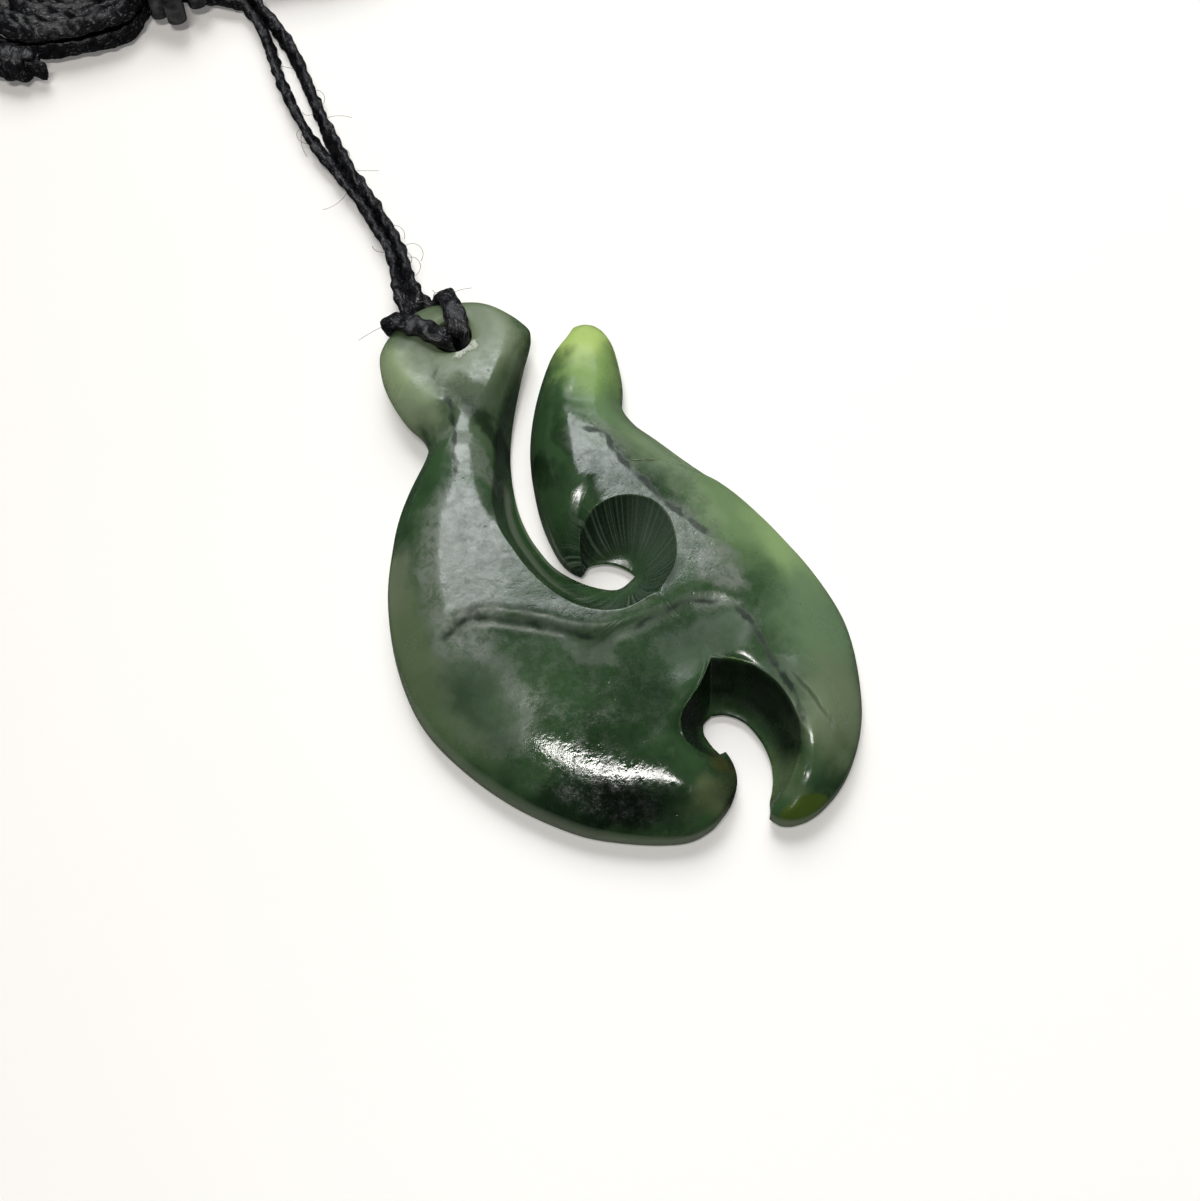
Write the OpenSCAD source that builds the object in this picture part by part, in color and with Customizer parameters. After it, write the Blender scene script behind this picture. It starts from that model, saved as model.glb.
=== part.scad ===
// Hei matau: a polished greenstone fish hook on a black waxed cord, laid flat.
// The back of the stone lies on z = 0, its length runs along Y with the head at +Y.
// Millimetres.

/* [Stone] */
// Length of the stone from the top of the head to the tail
stone_length = 54.5; // [50:0.5:60]
// Width of the stone across the hook
stone_width = 33; // [30:1:36]
// Thickness at the polished flat of the body
stone_thick = 5.8; // [5.4:0.1:6.6]
// Height of the upper arris of the outer edge
edge_top = 2; // [1.6:0.1:2.4]
// Height of the lower arris of the outer edge
edge_low = 0.7; // [0.5:0.1:1]
// Width of the rounding along the edges of the back
back_roll = 1.4; // [1:0.1:1.8]
// Depth of the valley that parts the flat from the lower bulge
valley_depth = 0.45; // [0.2:0.05:0.7]

/* [Head] */
// How far the back of the head stands off the surface
head_lift = 1.5; // [1.4:0.1:1.8]
// Bore for the cord
hole_d = 3.2; // [2.8:0.1:3.8]
// Width of the worn lip round the bore
lip_width = 0.45; // [0.3:0.05:0.7]
// Depth of the worn lip at the bore
lip_depth = 0.3; // [0.1:0.05:0.5]

/* [Cord] */
// Diameter of the cord
cord_d = 1.2; // [1:0.05:1.25]
// Gap between the cord and the stone
cord_gap = 0.12; // [0.1:0.02:0.3]

/* [Hank] */
// Height of the hank
hank_height = 4.8; // [4.4:0.1:5.4]
// Radius of the hank's round end beside the loose loops
hank_wide_r = 4.9; // [4.4:0.1:5.4]
// Radius of the hank's other round end
hank_slim_r = 3.8; // [3.2:0.1:4.2]
// Radius of the hank at its tied waist
hank_waist_r = 3.8; // [3.4:0.1:4.2]
// Width of each wrap of the tie
wrap_width = 1.6; // [1.2:0.1:2]
// Thickness of the wraps
wrap_thick = 0.7; // [0.5:0.1:0.9]
// Length of the sliding knot
knot_length = 5; // [4:0.5:6]
// Diameter of the sliding knot
knot_d = 3.2; // [2.8:0.1:3.6]

/* [Hidden] */
$fn = 48;

// The stone is drawn on a grid of 34.05 by 56.2 squares, which is stretched to its width and length.
grid_x = stone_width / 34.05;
grid_y = stone_length / 56.2;
// Middle of the drawing's outline, in squares
grid_mid = [-3.37, 2.93];
function place(p) = [(p[0] - grid_mid[0]) * grid_x, (p[1] - grid_mid[1]) * grid_y];

// Rows of the shank, from the head round the body to the curl.
// Columns: outer edge x and y, width of its bevel, bow of the row at its outer and inner end,
// share of the full height that the row reaches.
shank_outer = [
    [-5.8, 28.9, 1.4, 2.7, 2.7, 0],
    [-6.5, 28.2, 1.5, 2.5, 2.5, 0.6],
    [-7, 27.2, 1.6, 2.2, 2.2, 0.95],
    [-7.4, 26, 1.8, 1.7, 1.7, 1],
    [-7.65, 24.4, 2, 1.1, 1.1, 1],
    [-7.7, 22.7, 2.2, 0.6, 0.6, 1],
    [-7.55, 21.3, 2.5, 0.2, 0.2, 1],
    [-7.15, 20.1, 3, 0, 0, 1],
    [-7.3, 18.8, 3.3, 0, 0, 1],
    [-8.7, 17.5, 3.5, 0, 0, 1],
    [-10.9, 16.1, 3.7, 0, 0, 1],
    [-13.1, 14.3, 3.9, 0, 0, 1],
    [-15, 12.1, 3.9, 0, 0, 1],
    [-16.8, 9.7, 4, 0, 0, 1],
    [-18.2, 7.1, 4.1, 0, 0, 1],
    [-19.3, 4.4, 4.4, 0, 0, 1],
    [-20.05, 1.6, 5.2, 0, 0, 1],
    [-20.4, -1, 6.4, 0, 0, 1],
    [-20.3, -3.5, 7.6, 0, 0, 1],
    [-19.75, -6.1, 8.6, 0, 0, 1],
    [-18.95, -8.7, 9.2, 0, 0.2, 1],
    [-17.8, -11.4, 9.8, 0, 0.5, 1],
    [-16.3, -14, 10, 0, 0.8, 1],
    [-14.4, -16.6, 9.8, 0, 1.2, 1],
    [-12.2, -18.6, 9, 0, 2, 1],
    [-9.9, -20.3, 7.6, 0, 2.2, 1],
    [-7.6, -21.5, 5.2, 0, 1.6, 1],
    [-5.4, -21.6, 2.6, -0.6, 0.4, 0.8],
    [-3.9, -21.05, 1.2, -1.2, -1.2, 0]];

// The same rows' inner ends. Columns: front edge x and y, width of its bevel, share of the full
// height that the front edge keeps (1 is a crisp rim), back edge x and y.
shank_inner = [
    [3.5, 28, 1.4, 0, 3.5, 28],
    [4.2, 27.3, 1.5, 0, 4.2, 27.3],
    [4.8, 26.5, 1.6, 0, 4.8, 26.5],
    [5.35, 25.5, 1.7, 0, 5.35, 25.5],
    [5.75, 24.4, 1.8, 0, 5.75, 24.4],
    [5.85, 23.4, 2, 0, 5.85, 23.4],
    [5.1, 22.4, 2.3, 0, 5.1, 22.4],
    [3.7, 21.3, 2.7, 0.1, 3.8, 21.2],
    [2, 19.9, 3.1, 0.25, 2.3, 19.7],
    [0.3, 18.4, 3.3, 0.4, 0.8, 18.1],
    [-1.3, 16.8, 2.9, 0.5, -0.6, 16.4],
    [-2.8, 14.9, 2.4, 0.6, -1.8, 14.6],
    [-4.4, 12.6, 1.9, 0.75, -2.9, 12.4],
    [-6, 10.3, 1.2, 0.92, -3.7, 10.2],
    [-6.9, 7.9, 0.8, 1, -4.1, 8],
    [-6.95, 5.6, 0.8, 1, -4.1, 6],
    [-6.85, 3.2, 0.8, 1, -3.9, 4.4],
    [-6.2, 0.6, 0.8, 1, -3.2, 2.7],
    [-4.7, -2, 0.8, 1, -2.1, 1.1],
    [-2.2, -3.7, 0.8, 1, -0.5, -0.25],
    [0.9, -3.85, 0.8, 1, 1.3, 0],
    [1, -6.1, 0.8, 1, 0.9, -4.6],
    [1.2, -8.4, 0.8, 1, 0.3, -9.2],
    [1.5, -10.6, 0.8, 1, -0.3, -13.7],
    [-0.9, -12.2, 0.8, 1, -1.2, -13.9],
    [-3.2, -13.2, 0.8, 1, -1.65, -14.7],
    [-4, -15.2, 1, 0.95, -1.7, -15.7],
    [-2.8, -16.9, 1.2, 0.6, -1.55, -16.6],
    [-1.35, -17.1, 1, 0, -1.35, -17.1]];

// Rows of the barb, the ring and the tail, from the barb's tip round the eye to the tail's tip.
// Columns as in the table of the inner ends above.
limb_inner = [
    [9.2, 21.8, 1, 0, 9.2, 21.8],
    [8.1, 21.3, 1.6, 0, 8.1, 21.3],
    [6.2, 20.5, 2.4, 0, 6.2, 20.5],
    [3.9, 18.7, 3, 0, 3.9, 18.7],
    [1.7, 16.5, 3.3, 0, 1.7, 16.5],
    [-0.3, 13.8, 3.5, 0, -0.3, 13.8],
    [-1.6, 11.1, 3.7, 0, -1.6, 11.1],
    [-2.55, 8.6, 4, 0, -2.55, 8.6],
    [-3.1, 6.1, 4.4, 0, -3.1, 6.1],
    [-3.2, 3.9, 4.8, 0, -3.2, 3.9],
    [-2.55, 2.35, 4.8, 0, -2.5, 2.4],
    [-1.3, 4.3, 3, 0.55, -1.5, 2.8],
    [0.8, 5.25, 1.2, 0.95, -0.3, 2.4],
    [3.2, 4.85, 0.8, 1, 0.5, 1.7],
    [5, 3.2, 0.8, 1, 0.95, 1],
    [5.25, 0.6, 0.8, 1, 1.2, 0.5],
    [3.7, -2.4, 0.8, 1, 1.28, 0.15],
    [0.9, -3.85, 0.8, 1, 1.3, 0],
    [1, -6.1, 0.8, 1, 0.9, -4.6],
    [1.2, -8.4, 0.8, 1, 0.3, -9.2],
    [1.5, -10.6, 0.8, 1, -0.3, -13.7],
    [3.3, -12.3, 0.8, 1, 0.7, -14.2],
    [4.6, -14.9, 0.8, 1, 1.65, -15.6],
    [4.7, -17.6, 0.9, 0.98, 1.85, -17.7],
    [3.8, -19.9, 1, 0.85, 1.45, -19.6],
    [2.2, -21.5, 1.2, 0.6, 0.5, -21.2],
    [0.4, -22.5, 1.4, 0.3, -0.5, -22.2],
    [-0.85, -22.8, 1.4, 0, -0.85, -22.8],
    [-1.3, -23.3, 1, 0, -1.3, -23.3]];

// The same rows' outer ends, with the columns of the shank's first table.
limb_outer = [
    [10.9, 21, 1, 0.3, 0.3, 0],
    [11.3, 20.1, 1.3, 0.4, 0.4, 0.6],
    [11.3, 18.6, 1.7, 0.3, 0.3, 0.95],
    [10.7, 16.7, 2, 0, 0, 1],
    [9.9, 14.9, 2.2, 0, 0, 1],
    [8.7, 13.2, 2.4, 0, 0, 1],
    [8.75, 10.9, 2.6, 0.8, 0.5, 1],
    [9.4, 9.1, 3, 2.2, 1.2, 1],
    [9.95, 7.5, 3.4, 4.2, 1.8, 1],
    [10.45, 6, 3.7, 6.4, 2.2, 1],
    [10.95, 4.6, 4, 9, 2.4, 1],
    [11.4, 3.2, 4.2, 6.8, 2.2, 1],
    [11.8, 1.8, 4.3, 4.6, 2, 1],
    [12.25, 0.3, 4.4, 3, 1.8, 1],
    [12.65, -1.2, 4.6, 2, 1.4, 1],
    [13.05, -2.8, 4.8, 1.2, 0.8, 1],
    [13.35, -4.7, 5, 0.6, 0.4, 1],
    [13.6, -6.9, 5.2, 0, 0, 1],
    [13.65, -9.1, 5.4, 0, 0, 1],
    [13.55, -11.3, 5.6, 0, 0, 1],
    [13.2, -13.4, 5.8, 0, 0, 1],
    [12.4, -15.7, 5.8, 0, 0, 1],
    [11.2, -18.1, 5.6, 0, 0, 1],
    [9.7, -20.5, 5, 0, 0, 1],
    [7.8, -22.5, 4.4, 0, 0, 1],
    [5.5, -24.1, 3.6, 0, 0, 1],
    [3, -25, 2.8, 0, 0, 1],
    [1.2, -25.15, 1.8, -0.2, -0.2, 0.7],
    [0, -24.85, 1, -0.4, -0.4, 0]];

// First and last row of the bridge under the eye, where the two bands of rows are joined
shank_bridge = [20, 23];
limb_bridge = [17, 20];

// Heights of the front: x and y of a mark and its height as a share of the thickness
marks = [
    [-0.8, 31, 0.76], [-0.8, 26.5, 0.79], [-1.5, 22.5, 0.84], [-3.6, 18.4, 0.94],
    [-6, 14.5, 1], [-9.5, 10, 1], [-12.5, 6, 1], [-7.5, 8, 1], [-8, 3, 1], [-5, -2.5, 1],
    [0, -4.6, 1], [5, -4, 1], [7.4, -1, 1], [7, 3, 1], [6, 7, 1], [3, 10, 1], [3.4, 13, 0.98],
    [5.5, 15.6, 0.9], [8, 18.6, 0.78], [10.5, 21, 0.66], [9, -8, 0.97], [7.5, -14, 0.93],
    [5.6, -18.5, 0.88], [3, -22, 0.8], [0, -24, 0.62], [-12, -4, 0.93], [-6.5, -7.5, 0.95],
    [-1.5, -8.5, 0.95], [-9, -12, 0.88], [-5, -13.5, 0.84], [-4, -17.5, 0.78], [3.5, -9.5, 0.96]];

// Course of the valley between the flat and the lower bulge: x, y and share of its depth
valley = [
    [-16.4, 2.6, 0], [-14.4, 2.8, 0.7], [-12, 2.2, 1], [-10.2, 0.9, 1], [-8.6, -0.7, 1],
    [-6.6, -2.7, 1], [-4.4, -4.4, 1], [-1.8, -5.4, 1], [1.2, -5.8, 0.9], [3.6, -6.3, 0.8],
    [5.5, -7.6, 0.8], [6.4, -9.9, 0.7], [6.4, -12.6, 0.5], [5.8, -15.7, 0]];
// Reach of the valley on the side of the flat and on the side of the bulge, in squares
valley_reach = [1.1, 3.2];

// Number of steps from one row to the next
row_steps = 3;
// Shares of a bevel's width at which it has a line of points
bevel_lines = [0, 0.1, 0.3, 0.62];
// Share of its height that a bevel gains at once, as the small chamfer along the edge
edge_chamfer = 0.12;
// Number of spans on the flat between two bevels, on the front and on the back
front_spans = 6;
back_spans = 3;
// Shares of the way down a scooped wall at which it has a line of points
wall_lines = [0.12, 0.3, 0.52, 0.76];
// Overhang from which a wall is scooped in full, in millimetres
scoop_reach = 2;
// Shares of the width of the back's rounding at which it has a line of points
back_lines = [0, 0.35];
// Largest share of a row that one bevel may take up
bevel_limit = 0.45;
// Share of the head's stand-off that the upper arris of the edge follows
edge_follow = 0.7;
// Radius of the bore's innermost ring of points, as a share of the bore's own
pit_share = 0.8;

// Middle of the bore, in squares
hole_at = [-0.4, 25.9];
// Squares up to which the back is flat and from which the head stands off fully
lift_from = 15;
lift_to = 24;

function ease(t) = let (c = max(0, min(1, t))) c * c * (3 - 2 * c);
function snap(p) = [for (c = p) round(c * 10000) / 10000];

// Row of a table at row number i and share f of the way to the next row, on a smooth curve.
// The curve may turn a corner at the rows in stops.
function table_row(t, i, f, stops) = let (
        last = len(t) - 1,
        span = t[i + 1] - t[i],
        from_here = i == 0 || len(search(i, stops)) > 0 ? span : (t[i + 1] - t[i - 1]) / 2,
        to_there = i + 1 == last || len(search(i + 1, stops)) > 0 ? span : (t[i + 2] - t[i]) / 2)
    t[i] * (1 + 2 * f) * pow(1 - f, 2) + from_here * f * pow(1 - f, 2)
    + t[i + 1] * (3 - 2 * f) * f * f - to_there * (1 - f) * f * f;

// All stations of a table, the last row included
function stations(t, stops) = concat(
    [for (i = [0 : len(t) - 2], k = [0 : row_steps - 1]) table_row(t, i, k / row_steps, stops)],
    [t[len(t) - 1]]);

// Height of the back, which is flat under the hook and stands off under the head
function back_height(p) = head_lift * ease((p[1] - lift_from) / (lift_to - lift_from));

// Distance from p to the segment from a to b, the share along it and the side
function to_segment(p, a, b) = let (
        d = [b[0] - a[0], b[1] - a[1]],
        r = [p[0] - a[0], p[1] - a[1]],
        s = max(0, min(1, (r * d) / (d * d))),
        side = d[0] * r[1] - d[1] * r[0])
    [norm(r - s * d), lerp(a[2], b[2], s), side];
function lerp(a, b, t) = a + (b - a) * t;
function nearest(list) = let (m = min([for (e = list) e[0]])) [for (e = list) if (e[0] == m) e][0];
function valley_drop(p) = let (
        n = nearest([for (i = [0 : len(valley) - 2]) to_segment(p, valley[i], valley[i + 1])]),
        reach = n[2] > 0 ? valley_reach[0] : valley_reach[1])
    valley_depth * n[1] * pow(max(0, 1 - n[0] / reach), 2);

// Height of the front away from the edges
function crown(p) = let (
        w = [for (m = marks) 1 / pow(1 + pow(p[0] - m[0], 2) + pow(p[1] - m[1], 2), 2)],
        total = w * [for (m = w) 1])
    stone_thick * (w * [for (m = marks) m[2]]) / total - valley_drop(p);

// Share of the bevel's height at a share t of its width
function bevel_rise(t) = t <= 0 ? 0 : t >= 1 ? 1 :
    edge_chamfer + (1 - edge_chamfer) * (1 - pow(1 - t, 2));

function front_height(p, share) = let (low = edge_top + edge_follow * back_height(p))
    low + (crown(p) - low) * share;

// Point at the share v of a row from its left end a to its right end b, with its bows
function row_point(a, b, v, bow_a, bow_b) = let (
        d = b - a,
        n = [-d[1], d[0]] / norm(d))
    a + d * v + n * (3 * pow(1 - v, 2) * v * bow_a + 3 * (1 - v) * v * v * bow_b);

// Shares along a row where its lines of points lie: the left bevel, the flat and the right bevel
function row_shares(left, right, spans, lines) = concat(
    [for (s = lines) left * s],
    [for (k = [0 : spans]) lerp(left, 1 - right, k / spans)],
    [for (k = [len(lines) - 1 : -1 : 0]) 1 - right * lines[k]]);

// One row of the front, from its left edge l to its right edge r.
// An edge is: x, y, width of its bevel, share of the height that it keeps.
function front_row(l, r, bows, rise) = let (
        a = [l[0], l[1]], b = [r[0], r[1]],
        w = norm(b - a))
    [for (v = row_shares(min(bevel_limit, l[2] / w), min(bevel_limit, r[2] / w),
            front_spans, bevel_lines)) let (
            p = row_point(a, b, v, bows[0], bows[1]),
            at_l = 1 - (1 - l[3]) * (1 - bevel_rise(v * w / l[2])),
            at_r = 1 - (1 - r[3]) * (1 - bevel_rise((1 - v) * w / r[2])),
            q = place(p))
        snap([q[0], q[1], front_height(p, rise * at_l * at_r)])];

// One row of the back. l_edge and r_edge say how far each end is an edge: 0 on the bridge.
function back_row(a, b, bows, rise, l_edge, r_edge) = let (
        w = norm(b - a),
        roll = back_roll / grid_x,
        share = min(bevel_limit, roll / w))
    [for (v = row_shares(share, share, back_spans, back_lines)) let (
            p = row_point(a, b, v, bows[0], bows[1]),
            keep_l = 1 - l_edge * pow(max(0, 1 - v * w / roll), 2),
            keep_r = 1 - r_edge * pow(max(0, 1 - (1 - v) * w / roll), 2),
            q = place(p))
        snap([q[0], q[1], back_height(p) + edge_low * (1 - rise * keep_l * keep_r)])];

// Points down a scooped wall between a front edge and a back edge
function wall_column(f, g) = let (
        scoop = min(1, norm([f[0] - g[0], f[1] - g[1]]) / scoop_reach))
    [for (t = wall_lines)
        snap([lerp(f[0], g[0], t), lerp(f[1], g[1], t),
            lerp(g[2], f[2], lerp(1 - t, pow(1 - t, 2), scoop))])];

// How far a back edge is still an edge on the bridge, by its distance from the bridge's ends
function bridge_edge(inner, k, ends) = let (
        p = [inner[k][4], inner[k][5]],
        e = [for (i = ends) norm(p - [inner[i * row_steps][4], inner[i * row_steps][5]])])
    k <= ends[0] * row_steps || k >= ends[1] * row_steps ? 1
    : pow(max(0, 1 - min(e) * grid_x / back_roll), 2);

// A band of rows: [front rows, back rows, wall columns]. shank_side is 1 where the outer edge is
// at the left, 0 where it is at the right.
function band(outer_table, inner_table, ends, shank_side) = let (
        outer = stations(outer_table, []),
        inner = stations(inner_table, ends),
        rows = [for (k = [0 : len(outer) - 1]) let (
                o = [outer[k][0], outer[k][1], outer[k][2], 0],
                i = [inner[k][0], inner[k][1], inner[k][2], min(1, inner[k][3])],
                bows = [outer[k][3], outer[k][4]],
                rise = min(1, outer[k][5]))
            shank_side == 1 ? front_row(o, i, bows, rise) : front_row(i, o, bows, rise)],
        backs = [for (k = [0 : len(outer) - 1]) let (
                o = [outer[k][0], outer[k][1]],
                g = [inner[k][4], inner[k][5]],
                bows = [outer[k][3], outer[k][4]],
                rise = min(1, outer[k][5]),
                e = bridge_edge(inner, k, ends))
            shank_side == 1 ? back_row(o, g, bows, rise, 1, e) : back_row(g, o, bows, rise, e, 1)],
        walls = [for (k = [0 : len(outer) - 1])
            shank_side == 1 ? wall_column(rows[k][front_n], backs[k][back_n])
                : wall_column(rows[k][0], backs[k][0])])
    [rows, backs, walls];

// Spans across a row of the front and of the back
front_n = front_spans + 2 * len(bevel_lines);
back_n = back_spans + 2 * len(back_lines);

function flip(faces) = [for (f = faces) [f[0], f[2], f[1]]];
function quad(a, b, c, d) = [[a, b, c], [a, c, d]];
function flat(list) = [for (a = list, b = a) b];

// Faces of a grid of rows with n spans, whose first point is number base. Quads inside the block
// [first row, last row, first line, last line] are left out.
function grid_faces(base, rows, n, block) = flat([
    for (s = [0 : rows - 2], v = [0 : n - 1])
        if (!(s >= block[0] && s < block[1] && v >= block[2] && v < block[3]))
            let (a = base + s * (n + 1) + v)
            quad(a, a + 1, a + n + 2, a + n + 1)]);

// Numbers of the points round a block, clockwise from above
function block_loop(base, n, block) = concat(
    [for (v = [block[2] : block[3] - 1]) base + block[0] * (n + 1) + v],
    [for (s = [block[0] : block[1] - 1]) base + s * (n + 1) + block[3]],
    [for (v = [block[3] : -1 : block[2] + 1]) base + block[1] * (n + 1) + v],
    [for (s = [block[1] : -1 : block[0] + 1]) base + s * (n + 1) + block[2]]);

// Faces that close a row's end between the front row f and the back row b
function end_faces(f, b, n, m) = let (
        split = [for (k = [0 : m]) round(k * n / m)])
    concat(
        [for (k = [0 : m - 1], j = [split[k] : split[k + 1] - 1]) let (
                mid = ceil((split[k] + split[k + 1]) / 2))
            [f + j + 1, f + j, j < mid ? b + k : b + k + 1]],
        [for (k = [0 : m - 1]) let (
                mid = ceil((split[k] + split[k + 1]) / 2))
            [f + mid, b + k, b + k + 1]]);

// Faces of the scooped wall at the right of the rows; lines are the numbers of its columns
function wall_faces(columns, first, last, whole_start, whole_end) = flat([
    for (k = [first : last - 1]) let (
            c = columns[k], d = columns[k + 1], m = len(c) - 1)
        !whole_start && k == first ? concat([[c[0], c[m], d[m]]],
            [for (j = [0 : m - 1]) [c[0], d[j + 1], d[j]]])
        : !whole_end && k == last - 1 ? concat([[d[0], c[m], d[m]]],
            [for (j = [0 : m - 1]) [d[0], c[j], c[j + 1]]])
        : flat([for (j = [0 : m - 1]) quad(c[j], c[j + 1], d[j + 1], d[j])])]);

// Three rings of points round the bore that join a block's points to its worn lip, and its middle
function bore_points(loop_points, height_of, drop) = let (
        c = place(hole_at),
        dirs = [for (p = loop_points) let (d = [p[0] - c[0], p[1] - c[1]]) d / norm(d)],
        r = hole_d / 2)
    concat(
        [for (i = [0 : len(dirs) - 1]) let (
                q = c + dirs[i] * (r + lip_width),
                e = (loop_points[i] + [q[0], q[1], height_of(q)]) / 2)
            snap([e[0], e[1], height_of(e)])],
        [for (d = dirs) let (q = c + d * (r + lip_width)) snap([q[0], q[1], height_of(q)])],
        [for (d = dirs) let (q = c + d * r * pit_share) snap([q[0], q[1], height_of(q) + drop])],
        [snap([c[0], c[1], height_of(c) + drop])]);
function bore_faces(loop, base) = let (n = len(loop)) flat([for (i = [0 : n - 1]) let (j = (i + 1) % n)
    concat(
        quad(loop[i], loop[j], base + j, base + i),
        quad(base + i, base + j, base + n + j, base + n + i),
        quad(base + n + i, base + n + j, base + 2 * n + j, base + 2 * n + i),
        [[base + 2 * n + i, base + 2 * n + j, base + 3 * n]])]);

function unplace(q) = [q[0] / grid_x + grid_mid[0], q[1] / grid_y + grid_mid[1]];

// Blocks of the head's rows that the bore's rings take up, on the front and on the back
front_block = [2 * row_steps, 6 * row_steps, 5, 9];
back_block = [2 * row_steps, 6 * row_steps, 2, 5];

module stone_mesh() {
    shank = band(shank_outer, shank_inner, shank_bridge, 1);
    limb = band(limb_outer, limb_inner, limb_bridge, 0);
    shank_rows = len(shank[0]);
    limb_rows = len(limb[0]);
    w = len(wall_lines);
    fn = front_n + 1;
    bn = back_n + 1;
    // Number of the first point of each part of the mesh
    s_front = 0;
    s_back = s_front + shank_rows * fn;
    s_wall = s_back + shank_rows * bn;
    l_front = s_wall + shank_rows * w;
    l_back = l_front + limb_rows * fn;
    l_wall = l_back + limb_rows * bn;
    bore_front = l_wall + limb_rows * w;
    front_loop = block_loop(s_front, front_n, front_block);
    back_loop = block_loop(s_back, back_n, back_block);
    bore_back = bore_front + 3 * len(front_loop) + 1;
    grid = concat(flat(shank[0]), flat(shank[1]), flat(shank[2]),
        flat(limb[0]), flat(limb[1]), flat(limb[2]));
    front_bore = bore_points([for (i = front_loop) grid[i]],
        function(q) front_height(unplace(q), 1), -lip_depth);
    back_bore = bore_points([for (i = back_loop) grid[i]],
        function(q) back_height(unplace(q)), lip_depth / 2);
    shank_columns = [for (k = [0 : shank_rows - 1]) concat([s_front + k * fn + front_n],
        [for (j = [0 : w - 1]) s_wall + k * w + j], [s_back + k * bn + back_n])];
    limb_columns = [for (k = [0 : limb_rows - 1]) concat([l_front + k * fn],
        [for (j = [0 : w - 1]) l_wall + k * w + j], [l_back + k * bn])];
    none = [0, 0, 0, 0];
    polyhedron(points = concat(grid, front_bore, back_bore), faces = concat(
        grid_faces(s_front, shank_rows, front_n, front_block),
        flip(grid_faces(s_back, shank_rows, back_n, back_block)),
        grid_faces(l_front, limb_rows, front_n, none),
        flip(grid_faces(l_back, limb_rows, back_n, none)),
        // Outer walls
        flat([for (k = [0 : shank_rows - 2])
            quad(s_front + k * fn, s_front + (k + 1) * fn, s_back + (k + 1) * bn, s_back + k * bn)]),
        flat([for (k = [0 : limb_rows - 2])
            quad(l_front + k * fn + front_n, l_back + k * bn + back_n,
                l_back + (k + 1) * bn + back_n, l_front + (k + 1) * fn + front_n)]),
        // Scooped walls, which the bridge parts into two stretches on each band
        wall_faces(shank_columns, 0, shank_bridge[0] * row_steps, false, true),
        wall_faces(shank_columns, shank_bridge[1] * row_steps, shank_rows - 1, true, false),
        flip(wall_faces(limb_columns, 0, limb_bridge[0] * row_steps, false, true)),
        flip(wall_faces(limb_columns, limb_bridge[1] * row_steps, limb_rows - 1, true, false)),
        // Ends of the bands
        end_faces(s_front, s_back, front_n, back_n),
        flip(end_faces(s_front + (shank_rows - 1) * fn, s_back + (shank_rows - 1) * bn, front_n, back_n)),
        end_faces(l_front, l_back, front_n, back_n),
        flip(end_faces(l_front + (limb_rows - 1) * fn, l_back + (limb_rows - 1) * bn, front_n, back_n)),
        bore_faces(front_loop, bore_front),
        flip(bore_faces(back_loop, bore_back))), convexity = 10);
}

module stone() {
    bore = place(hole_at);
    color("darkgreen") difference() {
        stone_mesh();
        translate([bore[0], bore[1], -1]) cylinder(d = hole_d, h = stone_thick + 2);
    }
}

// Height of the head's front round the bore, as a share of the thickness
head_share = 0.795;
head_front = head_share * stone_thick;
// Height of a cord's middle where it lies on the surface and where it lies on the head
cord_low = cord_d / 2;
cord_high = head_front + cord_d / 2 + cord_gap;

// Points from a table of x and y from the bore's middle, in squares, and the share of the way
// up from the surface to the head's front
function by_bore(t) = let (c = place(hole_at))
    [for (p = t) [c[0] + p[0] * grid_x, c[1] + p[1] * grid_y, lerp(cord_low, cord_high, p[2])]];

// The hitch: up out of the bore, over the head's top edge, across under the two strands and back
hitch_route = [
    [-0.67, -0.5, 0.49], [-0.67, -0.5, 0.72], [-0.72, -0.3, 0.88], [-0.9, 0.3, 0.98], [-1.3, 1.1, 1],
    [-1.9, 2.05, 1], [-2.6, 3.1, 0.96], [-3.15, 3.9, 0.88], [-3.45, 4.7, 0.71], [-3.5, 5.15, 0.49],
    [-3.3, 5.5, 0.27], [-2.75, 5.8, 0.09], [-1.8, 6.1, 0], [-0.8, 6.3, 0], [0, 6.35, 0],
    [0.7, 6.25, 0], [1.35, 6, 0], [1.8, 5.65, 0.09], [2, 5.25, 0.27], [2, 4.9, 0.49],
    [1.8, 4.4, 0.7], [1.55, 3.6, 0.87], [1.3, 2.9, 0.96], [1.05, 2.1, 1], [0.88, 1.1, 1],
    [0.78, 0.3, 0.98], [0.7, -0.3, 0.88], [0.67, -0.5, 0.72], [0.67, -0.5, 0.49]];

// The two strands from the bore under the head and over the hitch, in the same columns
left_start = [
    [-0.67, -0.5, 0.49], [-0.67, -0.5, 0.34], [-0.67, -0.3, 0.19], [-0.67, 0.2, 0.07], [-0.67, 0.9, 0.01],
    [-0.72, 1.8, 0], [-0.88, 2.8, 0], [-1.15, 3.8, 0.03], [-1.3, 4.5, 0.11], [-1.35, 5.3, 0.21],
    [-1.3, 6, 0.29], [-1.15, 6.8, 0.29], [-0.85, 7.7, 0.19], [-0.4, 8.8, 0.07], [0.05, 10.1, 0]];
right_start = [
    [0.67, -0.5, 0.49], [0.67, -0.5, 0.34], [0.67, -0.3, 0.19], [0.67, 0.2, 0.07], [0.67, 0.9, 0.01],
    [0.64, 1.8, 0], [0.52, 2.8, 0], [0.3, 3.8, 0.03], [0.15, 4.5, 0.11], [0.07, 5.3, 0.21],
    [0.1, 6, 0.29], [0.3, 6.8, 0.29], [0.6, 7.7, 0.19], [1, 8.8, 0.07], [1.45, 10, 0]];
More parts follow.
